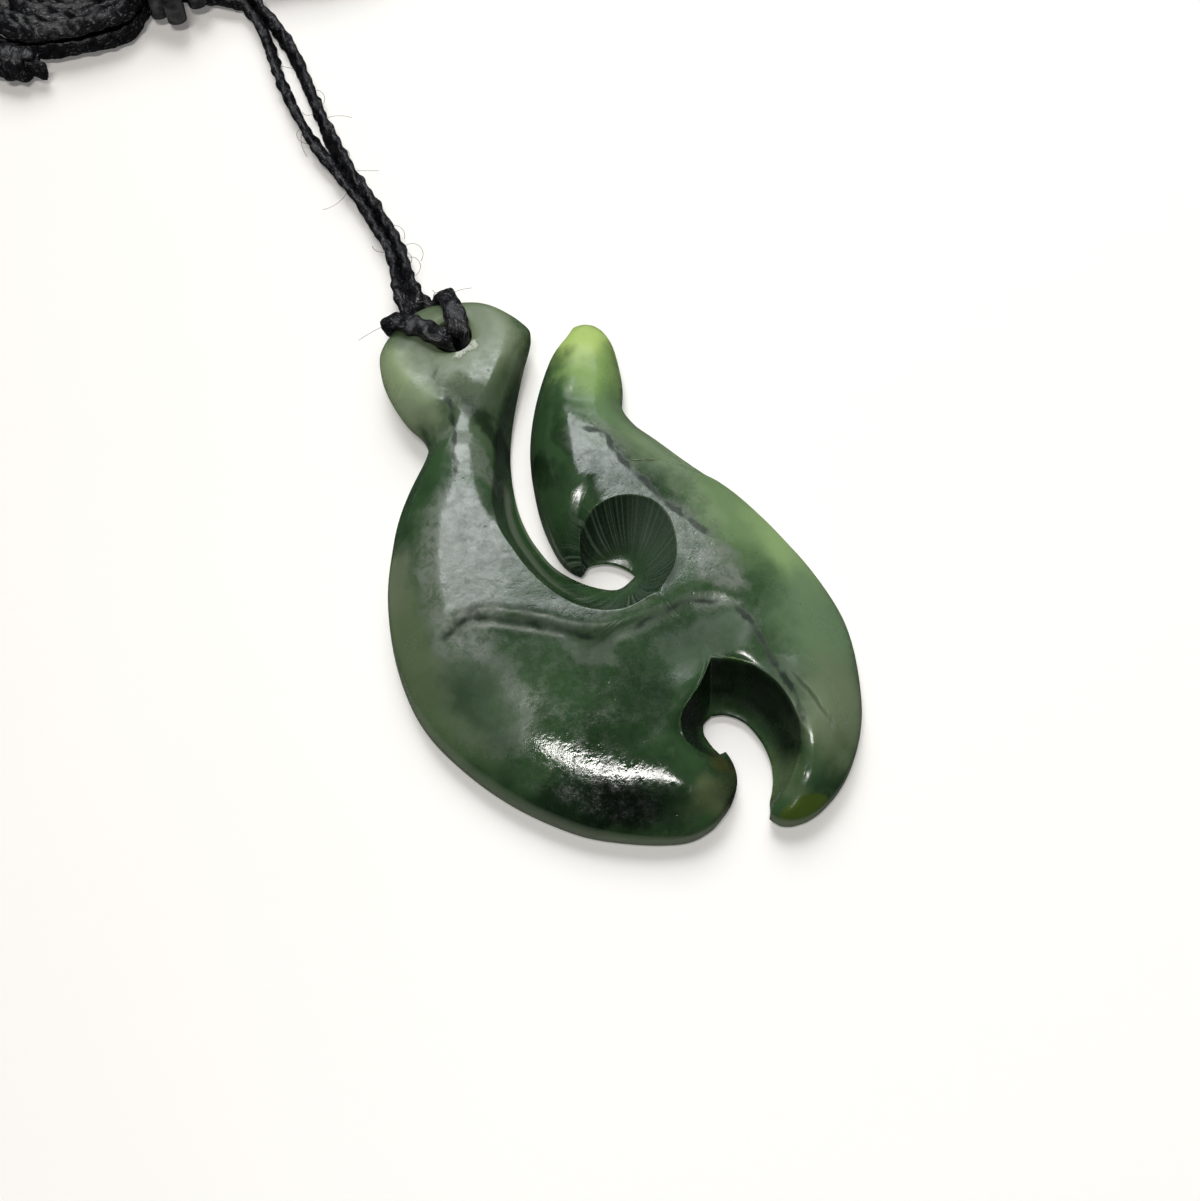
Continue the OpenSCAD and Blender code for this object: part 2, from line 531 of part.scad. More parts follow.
// The strands on the surface, up to the hank: x and y
left_on = [
    [3.5, 38.5], [3.6, 43], [3.6, 47], [3.8, 51], [4.4, 54.5], [5, 57.5], [5.5, 60], [5.3, 62.3], [4.5, 64]];
right_on = [
    [4.9, 38.3], [4.95, 43], [5.1, 47], [5.7, 51], [6.4, 54.5], [7, 57.5], [7.4, 60], [7.4, 62.2],
    [6.9, 63.8]];

// The hank's outline runs from its wide end over the bend and the tied waist to its slim end
hank_end = [-12.8, 77.1];
hank_bend = [-7.3, 71.6];
hank_waist = [1.6, 71.6];
hank_tip = [19, 65];
// Where the strands reach the hank, from the waist, as shares of the way to the slim end
left_share = 0.24;
right_share = 0.37;
// Length of a strand's last stretch, square to the hank
last_reach = 1.2;
// Where the knot lies beside the hank's wide end, as a share of the way from the end to the bend
knot_share = 0.5;
// Space between the knot and the hank
knot_gap = 0.2;
// Length of the knot's tapered ends and their smallest diameter as a share of the knot's
knot_taper = 0.6;
knot_small = 0.7;
// How much lower the tie's wraps are at their edges
wrap_round = 0.2;

function unit(v) = v / norm(v);
// Direction square to the side that two circles of radius ra and rb share, at the right of a to b
function side_normal(a, b, ra, rb) = let (
        d = unit(b - a),
        c = (ra - rb) / norm(b - a))
    d * c + [d[1], -d[0]] * sqrt(1 - c * c);
function side_point(a, b, ra, rb, share) = let (n = side_normal(a, b, ra, rb))
    lerp(a + n * ra, b + n * rb, share);

// A strand's last two points, where it meets the hank
function strand_end(share) = let (
        n = side_normal(hank_waist, hank_tip, hank_waist_r, hank_slim_r),
        p = side_point(hank_waist, hank_tip, hank_waist_r, hank_slim_r, share),
        q = p + n * last_reach)
    [[q[0], q[1], cord_low], [p[0], p[1], cord_low]];
function strand(start, on, share) = concat(by_bore(start), [for (p = on) [p[0], p[1], cord_low]],
    strand_end(share));

// Sideways directions along a route, each turned no more than the route itself
function directions(route) = [for (i = [0 : len(route) - 1])
    i == 0 ? unit(route[1] - route[0])
    : i == len(route) - 1 ? unit(route[i] - route[i - 1])
    : unit(unit(route[i] - route[i - 1]) + unit(route[i + 1] - route[i]))];
function sideways(dirs, i) = let (
        last = i == 0 ? [1, 0, 0] : sideways(dirs, i - 1))
    unit(last - dirs[i] * (last * dirs[i]));

// One closed tube of eight sides along a route
tube_sides = 8;
module tube(route) {
    dirs = directions(route);
    rings = [for (i = [0 : len(route) - 1]) let (u = sideways(dirs, i), v = cross(dirs[i], u))
        for (k = [0 : tube_sides - 1]) let (a = 360 * k / tube_sides)
            snap(route[i] + (u * cos(a) + v * sin(a)) * cord_d / 2)];
    last = (len(route) - 1) * tube_sides;
    polyhedron(points = rings, faces = concat(
        [[for (k = [0 : tube_sides - 1]) k]],
        [[for (k = [tube_sides - 1 : -1 : 0]) last + k]],
        flat([for (i = [0 : len(route) - 2], k = [0 : tube_sides - 1]) let (
                a = i * tube_sides + k,
                b = i * tube_sides + (k + 1) % tube_sides)
            quad(a, a + tube_sides, b + tube_sides, b)])), convexity = 6);
}

module hitch() { color("black") tube(by_bore(hitch_route)); }
module cord_left() { color("black") tube(strand(left_start, left_on, left_share)); }
module cord_right() { color("black") tube(strand(right_start, right_on, right_share)); }

// Direction of the hank at its waist
waist_turn = let (d = hank_tip - hank_bend) atan2(d[1], d[0]);
module at_waist() { translate([hank_waist[0], hank_waist[1], 0]) rotate([0, 0, waist_turn]) children(); }

// Block round the middle of the waist: half of its length, half of its width and its two heights
module waist_block(half_length, half_width, low, high) {
    translate([-half_length, -half_width, low]) cube([2 * half_length, 2 * half_width, high - low]);
}
module waist_core(half_length) {
    waist_block(half_length, hank_waist_r - wrap_thick, wrap_thick, hank_height - wrap_thick);
}

// Outline of one straight stretch of the hank, from a to b
module hank_stretch(a, b, ra, rb) {
    hull() {
        translate(a) circle(r = ra);
        translate(b) circle(r = rb);
    }
}

module hank() {
    tie_half = 1.5 * wrap_width;
    color("black") union() {
        difference() {
            linear_extrude(height = hank_height) {
                hank_stretch(hank_end, hank_bend, hank_wide_r, hank_wide_r);
                hank_stretch(hank_bend, hank_waist, hank_wide_r, hank_waist_r);
                hank_stretch(hank_waist, hank_tip, hank_waist_r, hank_slim_r);
            }
            at_waist() waist_block(tie_half, 2 * hank_wide_r, -1, hank_height + 1);
        }
        at_waist() waist_core(tie_half);
    }
}

module tie() {
    color("dimgray") at_waist() difference() {
        for (k = [-1 : 1]) translate([k * wrap_width, 0, 0]) hull() {
            waist_block(wrap_width / 4, hank_waist_r, 0, hank_height);
            waist_block(wrap_width / 2, hank_waist_r - wrap_round, wrap_round, hank_height - wrap_round);
        }
        waist_core(2 * wrap_width);
    }
}

module knot() {
    n = side_normal(hank_end, hank_bend, hank_wide_r, hank_wide_r);
    p = side_point(hank_end, hank_bend, hank_wide_r, hank_wide_r, knot_share);
    stand = knot_d / 2 + knot_gap;
    barrel = knot_length - 2 * knot_taper;
    color("black") translate([p[0], p[1], knot_d / 2]) rotate([0, 0, atan2(n[1], n[0])]) union() {
        translate([stand, 0, 0]) rotate([90, 0, 0]) {
            cylinder(d = knot_d, h = barrel, center = true);
            for (m = [0, 1]) mirror([0, 0, m]) translate([0, 0, barrel / 2])
                cylinder(d1 = knot_d, d2 = knot_d * knot_small, h = knot_taper);
        }
        rotate([0, 90, 0]) cylinder(d = cord_d, h = stand);
    }
}

stone();
hitch();
cord_left();
cord_right();
hank();
tie();
knot();
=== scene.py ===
import bpy, bmesh, math
import numpy as np
from mathutils import Matrix, Vector
from mathutils.kdtree import KDTree


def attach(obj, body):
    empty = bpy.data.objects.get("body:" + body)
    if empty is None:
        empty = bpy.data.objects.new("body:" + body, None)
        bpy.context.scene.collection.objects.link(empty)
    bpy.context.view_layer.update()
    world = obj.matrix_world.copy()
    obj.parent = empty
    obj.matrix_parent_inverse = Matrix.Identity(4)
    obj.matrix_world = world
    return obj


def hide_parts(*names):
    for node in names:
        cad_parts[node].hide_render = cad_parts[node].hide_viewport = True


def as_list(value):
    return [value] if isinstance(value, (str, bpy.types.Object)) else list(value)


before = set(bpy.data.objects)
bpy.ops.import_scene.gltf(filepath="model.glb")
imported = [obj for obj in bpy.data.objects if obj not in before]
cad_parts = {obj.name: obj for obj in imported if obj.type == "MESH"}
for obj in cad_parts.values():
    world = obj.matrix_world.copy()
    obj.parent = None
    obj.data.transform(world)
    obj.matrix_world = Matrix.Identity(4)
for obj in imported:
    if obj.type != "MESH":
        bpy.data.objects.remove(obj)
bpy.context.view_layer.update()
scene = bpy.context.scene
mm = 0.001

view = {
    "aim": (0.0012, -0.0028, 0),
    "azimuth": 57,  # direction of sight over the floor, in degrees from +X
    "elevation": 67,
    "distance": 0.16,
    "lens": 59.4, "sensor": 36, "clip": (0.005, 20),
}

def newPiece(name, data):
    piece = bpy.data.objects.new(name, data)
    scene.collection.objects.link(piece)
    return piece

def makeCamera(s):
    az, el = math.radians(s["azimuth"]), math.radians(s["elevation"])
    sight = Vector((math.cos(az) * math.cos(el), math.sin(az) * math.cos(el), -math.sin(el)))
    data = bpy.data.cameras.new("photoCamera")
    data.lens = s["lens"]
    data.sensor_width = s["sensor"]
    data.sensor_fit = "HORIZONTAL"
    data.clip_start, data.clip_end = s["clip"]
    camera = newPiece("photoCamera", data)
    camera.location = Vector(s["aim"]) - sight * s["distance"]
    camera.rotation_euler = sight.to_track_quat("-Z", "Y").to_euler()
    scene.camera = camera

makeCamera(view)
print("camera ready")


def meshOf(bm, name):
    mesh = bpy.data.meshes.new(name)
    bm.to_mesh(mesh)
    bm.free()
    return mesh

def smoothWalk(points, step):
    # an even walk along a smooth curve through the points; a row may hold more than x, y and z;
    # it is first laid four times as fine
    p = np.array(points, float)
    p = np.vstack([2 * p[0] - p[1], p, 2 * p[-1] - p[-2]])
    rows = []
    for a, b, c, d in zip(p, p[1:], p[2:], p[3:]):
        count = max(2, int(4 * np.linalg.norm((c - b)[:3]) / step))
        for t in np.linspace(0, 1, count, endpoint=False):
            rows.append(0.5 * (2 * b + (c - a) * t + (2 * a - 5 * b + 4 * c - d) * t ** 2
                               + (3 * b - a - 3 * c + d) * t ** 3))
    rows = np.array(rows + [p[-2]])
    run = np.concatenate([[0], np.cumsum(np.linalg.norm(np.diff(rows[:, :3], axis=0), axis=1))])
    even = np.linspace(0, run[-1], max(2, int(run[-1] / step) + 1))
    return np.stack([np.interp(even, run, rows[:, k]) for k in range(rows.shape[1])], 1), even


braid = {
    "width": 1.7, "thick": 0.84,  # of the waxed braid, in mm
    "square": 0.74,  # how full its section is
    "depth": 0.11,  # of the grooves between its strands
    "round": 0.6, "level": 0.6,  # power that rounds the strands, and the height that counts as middle
    "pitch": 1.7,  # of its pattern along the cord
    "strands": 4,
    "twist": (0.12, 0.9),  # how far the pattern runs ahead and back, and its rate
    "lump": 0.025, "lumps": 9,  # how uneven it is: height and number of waves
    "lumpRate": (0.7, 5), "lobes": 4,
    "swell": ((0.07, 0.7, 1), (0.03, 2.3, 2)),  # share, rate and start of the waves in its width
    "apart": 0.37, "seed": 40,  # how far one cord's pattern is ahead of the next
    "step": 0.13, "around": 24,
    "lowest": 0.01,  # above the floor
}

def alignFaces(rows):
    # the broad faces are alike, so each direction is turned to agree with the one before
    rows = [list(row) for row in rows]
    for a, b in zip(rows, rows[1:]):
        if a[3] * b[3] + a[4] * b[4] + a[5] * b[5] < 0:
            b[3:6] = [-v for v in b[3:6]]
    return rows

def sweepBraid(name, route, s, seed):
    # route rows: x, y, z and the direction of the braid's broad face, all in mm
    rows, run = smoothWalk(alignFaces(route), s["step"])
    middle, hint = rows[:, :3], rows[:, 3:6]
    ahead = np.gradient(middle, axis=0)
    ahead /= np.linalg.norm(ahead, axis=1)[:, None]
    face = hint - ahead * (hint * ahead).sum(1)[:, None]
    face /= np.linalg.norm(face, axis=1)[:, None]
    side = np.cross(ahead, face)
    count = s["around"]
    a = 2 * np.pi * np.arange(count) / count
    across = np.sign(np.cos(a)) * np.abs(np.cos(a)) ** s["square"]
    deep = np.sign(np.sin(a)) * np.abs(np.sin(a)) ** s["square"]
    rng = np.random.default_rng(s["seed"] + seed)
    lead, rate = s["twist"]
    turn = run[:, None] / s["pitch"] + lead * np.sin(run * rate + seed)[:, None]
    one = np.pi * (turn + s["strands"] * a[None] / (2 * np.pi) + seed * s["apart"])
    two = np.pi * (turn - s["strands"] * a[None] / (2 * np.pi) + 0.5)
    bump = np.abs(np.sin(one) * np.sin(two)) ** s["round"]
    uneven = np.zeros_like(bump)
    for wave in range(s["lumps"]):
        rate, lobes = rng.uniform(*s["lumpRate"]), rng.integers(0, s["lobes"])
        uneven += s["lump"] * np.sin(run[:, None] * rate + lobes * a[None] + rng.uniform(0, 6.3))
    swell = 1 + sum(share * np.sin(run * rate + start * seed) for share, rate, start in s["swell"])
    grow = (bump - s["level"]) * s["depth"] + uneven
    halfWidth = s["width"] / 2 * swell[:, None] + grow
    halfThick = s["thick"] / 2 / swell[:, None] + grow
    points = (middle[:, None] + side[:, None] * (across * halfWidth)[..., None]
              + face[:, None] * (deep * halfThick)[..., None])
    points[..., 2] = np.maximum(points[..., 2], s["lowest"])
    number = np.arange(len(rows) * count).reshape(len(rows), count)
    beside = np.roll(number, -1, 1)
    quads = np.stack([number[:-1], beside[:-1], beside[1:], number[1:]], -1).reshape(-1, 4)
    faces = quads.tolist() + [number[0, ::-1].tolist(), number[-1].tolist()]  # and the two ends
    mesh = bpy.data.meshes.new(name)
    mesh.from_pydata((points * mm).reshape(-1, 3).tolist(), [], faces)
    crest = mesh.attributes.new("crest", "FLOAT", "POINT")
    crest.data.foreach_set("value", bump.reshape(-1).astype(np.float32))
    corner = np.zeros(len(mesh.loops), int)
    mesh.loops.foreach_get("vertex_index", corner)
    cordMap = mesh.uv_layers.new(name="cordMap")  # mm along the cord, and the share of a turn round it
    uv = np.stack([run[corner // count], corner % count / count], 1)
    cordMap.data.foreach_set("uv", uv.reshape(-1).astype(np.float32))
    mesh.shade_smooth()
    mesh.update()
    return newPiece(name, mesh), middle * mm, run[-1] * mm


# The cord's bight: up out of the bore, over the head's top edge, under the strands and back
hitchRoute = [
    (2.4, 21.8, 2.9, 1, 0, 0), (2.35, 21.75, 3.7, 1, 0, 0.1), (2.25, 21.85, 4.5, 1, -0.3, 0.6),
    (1.95, 22.4, 5.1, 0.5, -0.5, 1), (1.4, 23.3, 5.22, 0.1, 0, 1), (0.75, 24.3, 5.2, 0, 0, 1),
    (0.25, 25.2, 5.02, 0, 0.2, 1), (-0.15, 26, 4.6, 0, 0.6, 1), (-0.4, 26.8, 3.8, 0, 1, 0.7),
    (-0.45, 27.2, 2.8, 0, 1, 0.1), (-0.3, 27.35, 1.8, -0.1, 1, 0.1), (0.05, 27.45, 1.05, -0.2, 1, 0.6),
    (0.75, 27.6, 0.6, -0.1, 0.5, 1), (1.7, 27.75, 0.5, 0, 0.2, 1), (2.6, 27.75, 0.5, 0, 0.2, 1),
    (3.4, 27.65, 0.58, 0.1, 0.5, 1), (4.05, 27.45, 1, 0.2, 1, 0.6), (4.4, 27.25, 1.8, 0.1, 1, 0.1),
    (4.6, 26.95, 2.7, 0.1, 1, 0.2), (4.65, 26.5, 3.6, 0.1, 1, 0.7), (4.55, 25.9, 4.35, 0, 0.7, 1),
    (4.35, 25.1, 4.9, 0, 0.3, 1), (4.1, 24.3, 5.15, 0, 0, 1), (3.85, 23.3, 5.2, -0.1, 0, 1),
    (3.6, 22.5, 5.1, -0.5, -0.5, 1), (3.45, 21.9, 4.55, -1, -0.3, 0.5), (3.4, 21.75, 3.7, -1, 0, 0.1),
    (3.4, 21.8, 2.9, -1, 0, 0)]
# The two strands from the bore, under the head, over the bight and up to the hank
leftRoute = [
    (2.4, 21.8, 2.9, 1, 0, 0), (2.4, 21.8, 2.2, 1, 0, 0.2), (2.4, 22, 1.5, 0.8, -0.3, 0.5),
    (2.35, 22.5, 0.95, 0.3, -0.3, 1), (2.25, 23.2, 0.62, 0, 0, 1), (2.15, 24.2, 0.55, 0, 0, 1),
    (1.95, 25.3, 0.62, 0, 0, 1), (1.75, 26.2, 0.95, 0, -0.2, 1), (1.65, 27, 1.55, 0.2, -0.4, 1),
    (1.65, 27.8, 2.15, 0.4, -0.2, 1), (1.75, 28.6, 2.25, 0.7, 0, 1), (2, 29.6, 1.9, 1, 0, 0.8),
    (2.45, 30.8, 1.35, 1, 0, 0.5), (3, 32.3, 0.95, 1, 0, 0.3), (3.6, 34.5, 0.9, 1, 0, 0.2),
    (3.85, 37, 0.9, 1, 0, 0.3), (3.95, 40, 0.9, 1, 0, 0.2), (3.9, 43.5, 0.88, 1, 0, 0.5),
    (3.75, 47, 0.88, 1, 0, 0.7), (3.85, 50, 0.88, 1, 0, 0.3), (4.2, 53.2, 0.9, 1, 0, 0.2),
    (4.8, 56.2, 0.9, 1, -0.2, 0.3), (5.45, 58.8, 0.9, 1, -0.2, 0.4), (5.95, 61, 0.9, 1, 0, 0.3),
    (5.95, 63.2, 0.95, 1, 0.2, 0.2), (5.4, 65.2, 1.1, 1, 0.5, 0.2)]
rightRoute = [
    (3.4, 21.8, 2.9, -1, 0, 0), (3.4, 21.8, 2.2, -1, 0, 0.2), (3.4, 22, 1.5, -0.8, -0.3, 0.5),
    (3.5, 22.5, 0.95, -0.3, -0.3, 1), (3.7, 23.2, 0.62, 0, 0, 1), (3.85, 24.2, 0.55, 0, 0, 1),
    (3.7, 25.3, 0.62, 0, 0, 1), (3.4, 26.2, 0.95, 0, -0.2, 1), (3.05, 27, 1.55, -0.2, -0.4, 1),
    (2.75, 27.8, 2.15, -0.4, -0.2, 1), (2.75, 28.6, 2.3, -0.7, 0, 1), (3, 29.6, 2, -1, 0, 0.8),
    (3.4, 30.8, 1.4, -1, 0, 0.5), (3.9, 32.3, 0.95, -1, 0, 0.3), (4.5, 34.5, 0.9, -1, 0, 0.2),
    (4.75, 37, 0.9, -1, 0, 0.1), (4.85, 40, 0.9, -1, 0, 0.3), (4.85, 43, 0.9, -1, 0, 0.3),
    (5.1, 46.5, 0.88, -1, 0, 0.6), (5.6, 49.5, 0.9, -1, 0, 0.2), (6.2, 52.8, 0.9, -1, 0, 0.2),
    (6.75, 55.6, 0.9, -1, 0.2, 0.3), (7.1, 58.2, 0.9, -1, 0.1, 0.3), (7.15, 60.6, 0.9, -1, 0, 0.3),
    (6.95, 62.9, 0.95, -1, -0.2, 0.2), (6.4, 65, 1.2, -1, -0.5, 0.2)]

# The hank: a racetrack of turns about a middle line, squeezed where it is tied
hankSet = {
    "line": [(-16, 80.4), (-12.8, 77.1), (-7.3, 71.6), (1.6, 71.6), (19, 65), (22.8, 63.6)],
    "wide": 0, "slim": 35.4, "waist": 16.8,  # places along the line, from the wide end
    "trips": 7, "columns": 4, "layers": (1.3, 3.1),
    "first": (0.42, 0.62, 0.5), "pitch": (0.8, 1.05, 0.8),  # at the waist, the wide lobe and the tip
    "looseLobe": -4.45, "looseTip": -5.7,  # the one turn that hangs free at the front
    # a turn's points: mm from which place, and shares of its offset at the tip, waist and lobe
    "stops": [("slim", -1.5, 1, 0, 0), ("slim", -7, 0.5, 0.5, 0), ("waist", 4, 0, 1, 0),
              ("waist", 0, 0, 1, 0), ("waist", -3.6, 0, 1.05, 0), ("waist", -7.5, 0, 0, 0.9),
              ("wide", 5, 0, 0, 1), ("wide", 1.5, 0, 0, 0.97)],
    "held": 5,  # from the waist, where the tie keeps the turns in place
    "jitter": (0.4, 0.16, 0.2), "lowest": 0.95,  # along, across and up
    "lean": (0.15, 0.9), "leanJitter": 0.35,  # of the broad face, in the lower and the upper layer
    "overrun": (-0.36, 0.18),  # of the round ends
    "ahead": 0.4, "seed": 5,
}

def layHank(s):
    line, run = smoothWalk([(x, y, 0) for x, y in s["line"]], 0.2)
    start = run[np.argmin(np.hypot(*(line[:, :2] - s["line"][1]).T))]
    return line, run - start

hankCurve = layHank(hankSet)

def hankPoint(along, across, z):
    # a point beside the middle line, and the way the line runs there
    line, run = hankCurve
    here, there = [np.array([np.interp(place, run, line[:, k]) for k in (0, 1)])
                   for place in (along, along + hankSet["ahead"])]
    way = (there - here) / np.linalg.norm(there - here)
    return (here[0] - way[1] * across, here[1] + way[0] * across, z), way

def hankTurns(cordNumber, s):
    # from the strand's end to the wide lobe, round, to the slim tip, round, and so on
    rng = np.random.default_rng(s["seed"] + cordNumber)
    rows, taken, side = [], {-1: 0, 1: 0}, -1
    nextSlot = lambda turnSide: 2 * taken[turnSide] + cordNumber
    column = lambda slot: s["columns"] - 1 - slot % s["columns"]
    height = lambda slot: s["layers"][min(slot // s["columns"], 1)]
    for trip in range(s["trips"]):
        slot = nextSlot(side)
        taken[side] += 1
        z, lean = height(slot), s["lean"][slot >= s["columns"]]
        atWaist, atLobe, atTip = [side * (f + p * column(slot)) for f, p in zip(s["first"], s["pitch"])]
        if slot == 0 and side < 0:
            atLobe, atTip = s["looseLobe"], s["looseTip"]
        overrun = rng.uniform(*s["overrun"])
        stops = [(s[place] + off, atTip * tip + atWaist * waist + atLobe * lobe)
                 for place, off, tip, waist, lobe in s["stops"]]
        if trip == 0:  # the strand comes in at the waist
            stops = stops[3:]
        if trip % 2 == 1:
            stops = stops[::-1]
        for along, across in stops:
            loose = 0 if abs(along - s["waist"]) < s["held"] else 1
            j = rng.uniform(-1, 1, 3) * s["jitter"] * loose
            p, way = hankPoint(along + j[0], across + j[1], max(s["lowest"], z + j[2]))
            stir = rng.uniform(-s["leanJitter"], s["leanJitter"]) * (1 if loose else 0.3)
            rows.append((*p, -way[1], way[0], side * lean * loose + stir))
        if trip == s["trips"] - 1:
            break
        end, base, out = (1, s["wide"], -1) if trip % 2 == 0 else (2, s["slim"], 1)
        after = nextSlot(-side)
        r = s["first"][end] + 0.5 * s["pitch"][end] * (column(slot) + column(after))
        for angle in (-50, 0, 50):  # round the end to the other side
            c, q = math.cos(math.radians(angle)), math.sin(math.radians(angle))
            across = -side * q * r
            p, way = hankPoint(base + out * (max(1, r * 0.95) * c + overrun), across,
                               z + (height(after) - z) * (angle + 90) / 180)
            tilt = across / max(r, 0.1)
            rows.append((*p, out * c * way[0] - way[1] * tilt, out * c * way[1] + way[0] * tilt, 0.1))
        side = -side
    return rows

knotSet = {
    "middle": (-14.75, 69.75, 1.62), "way": (0.707, -0.707),
    "length": 3.7, "turns": 3.3, "radius": 1.05, "belly": 0.22,
    "width": 1.5, "thick": 0.84, "perTurn": 12, "lowest": 0.5, "seed": 4,
    # how far before the middle the cords' points lie, with their shift in y; and how they run on
    "entry": ((5.4, 1.1), (3.8, 0.3), (2.2, 0), (0, 0)), "tail": 3.1, "shorter": 0.9, "beside": 0.38,
}

def endAtKnot(cordNumber, s):
    # both ends of the necklace run through the sliding knot
    x, y, z = s["middle"]
    wayX, wayY = s["way"]
    off = s["beside"] * (2 * cordNumber - 1)
    tail = s["tail"] - s["shorter"] * cordNumber
    return [(x - wayX * back - wayY * off, y - wayY * back + wayX * off + extra, z, wayY, -wayX, 0.15)
            for back, extra in (*s["entry"], (-tail, 0))]

cords = {}
for cordNumber, (name, route) in enumerate((("cordLeft", hitchRoute[::-1][:-1] + leftRoute),
                                            ("cordRight", rightRoute))):
    route = route + hankTurns(cordNumber, hankSet) + endAtKnot(cordNumber, knotSet)
    cords[name] = sweepBraid(name, route, braid, cordNumber)
    print(name, round(cords[name][2] * 1000, 1), "mm")

def makeKnot(s):
    x, y, z = s["middle"]
    wayX, wayY = s["way"]
    rows = []
    for f in np.linspace(0, 1, int(s["turns"] * s["perTurn"])):
        a = 2 * math.pi * s["turns"] * f
        lay = (f - 0.5) * (s["length"] - s["width"] * 0.6)
        r = s["radius"] + s["belly"] * math.sin(math.pi * f)
        c, q = math.cos(a), math.sin(a)
        rows.append((x + wayX * lay - wayY * c * r, y + wayY * lay + wayX * c * r,
                     max(s["lowest"], z + q * r), -wayY * c, wayX * c, q))
    knotBraid = dict(braid, width=s["width"], thick=s["thick"])
    return sweepBraid("slidingKnot", rows, knotBraid, s["seed"])[0]

slidingKnot = makeKnot(knotSet)

tieSet = {
    # place along the hank, half width, half height, shift sideways, lean in degrees
    "wraps": [(-1.9, 4, 2.45, -0.75, 7), (0, 4.5, 2.5, -1.35, -3), (1.75, 3.95, 2.45, -0.7, 5)],
    "middle": 2.5, "ring": 3,  # height of the wraps' middle; radius of the ring they are pressed from
    "thick": 0.9, "width": 1.75, "full": 0.72,
    "around": 14, "steps": 60, "lowest": 0.02,
}

def makeTie(s):
    bm = bmesh.new()
    middle, way = hankPoint(hankSet["waist"], 0, s["middle"])
    onHank = Matrix.Translation(middle) @ Matrix.Rotation(math.atan2(way[1], way[0]), 4, "Z")
    for along, halfWidth, halfHeight, shift, lean in s["wraps"]:
        ring = bmesh.ops.create_circle(bm, segments=s["around"], radius=s["thick"] / 2,
                                       matrix=Matrix.Translation((0, s["ring"], 0)))["verts"]
        bmesh.ops.scale(bm, vec=(s["width"] / s["thick"], 1, 1), verts=ring)
        edges = [e for e in bm.edges if e.verts[0] in ring]
        old = set(bm.verts) - set(ring)
        bmesh.ops.spin(bm, geom=ring + edges, cent=(0, 0, 0), axis=(1, 0, 0), angle=2 * math.pi,
                       steps=s["steps"], use_merge=True, use_duplicate=False)
        verts = [v for v in bm.verts if v not in old]
        for v in verts:  # the ring is pressed to the hank's section
            r, a = math.hypot(v.co.y, v.co.z) - s["ring"], math.atan2(v.co.z, v.co.y)
            c, q = math.cos(a), math.sin(a)
            v.co.y = math.copysign(abs(c) ** s["full"], c) * halfWidth + c * r
            v.co.z = math.copysign(abs(q) ** s["full"], q) * halfHeight + q * r
        place = Matrix.Translation((along, shift, 0)) @ Matrix.Rotation(math.radians(lean), 4, "Z")
        bmesh.ops.transform(bm, matrix=onHank @ place, verts=verts)
    for v in bm.verts:
        v.co.z = max(v.co.z, s["lowest"])
    bmesh.ops.scale(bm, vec=(mm, mm, mm), verts=bm.verts)
    bmesh.ops.recalc_face_normals(bm, faces=bm.faces)
    mesh = meshOf(bm, "tieWraps")
    mesh.shade_smooth()
    return newPiece("tieWraps", mesh)

tieWraps = makeTie(tieSet)

fibreSet = {
    "count": 34, "thick": 0.022, "long": (1, 3), "seed": 12, "points": 12,
    "from": 27, "to": 56, "leftOf": 9,  # y along the strands, and x
    "toHead": 1.8,  # above 1, more of them stand near the head
    "left": 0.62,  # share of them on the left
    "start": (0.5, 0.1), "rise": 0.25,  # beside and above the strand's middle, and upwards
    "bend": 1.1, "curl": 0.3, "fall": 0.06, "lowest": 0.03,
}

def makeFibres(s):
    # stray fibres that stand out of the two strands
    rng = np.random.default_rng(s["seed"])
    curve = bpy.data.curves.new("strayFibres", "CURVE")
    curve.dimensions = "3D"
    curve.bevel_depth = s["thick"] * mm
    curve.bevel_resolution = 0
    paths = [cords[name][1] / mm for name in ("cordLeft", "cordRight")]
    for number in range(s["count"]):
        path = paths[number % 2]
        y = path[:, 1]
        choice = np.nonzero((y > s["from"]) & (y < s["to"]) & (path[:, 0] < s["leftOf"]))[0]
        root = path[choice[int(len(choice) * rng.uniform(0, 1) ** s["toHead"])]]
        heading = rng.uniform(0, 2 * math.pi)
        side = -1 if rng.uniform() < s["left"] else 1
        length = rng.uniform(*s["long"])
        p = root + np.array([s["start"][0] * side, 0, s["start"][1]])
        way = np.array([side, math.cos(heading), s["rise"]])
        bend = rng.uniform(-s["bend"], s["bend"])
        spline = curve.splines.new("POLY")
        spline.points.add(s["points"] - 1)
        for point in spline.points:
            point.co = (*(p * mm), 1)
            way = way / np.linalg.norm(way)
            way = way + np.array([-way[1], way[0], 0]) * bend * s["curl"] - np.array([0, 0, s["fall"]])
            p = p + way / np.linalg.norm(way) * length / (s["points"] - 1)
            p[2] = max(p[2], s["lowest"])
    maker = newPiece("fibreMaker", curve)
    bpy.context.view_layer.update()
    mesh = bpy.data.meshes.new_from_object(maker)
    bpy.data.objects.remove(maker)
    mesh.name = "strayFibres"
    return newPiece("strayFibres", mesh)

strayFibres = makeFibres(fibreSet)
print("cords, tie, knot and fibres ready")


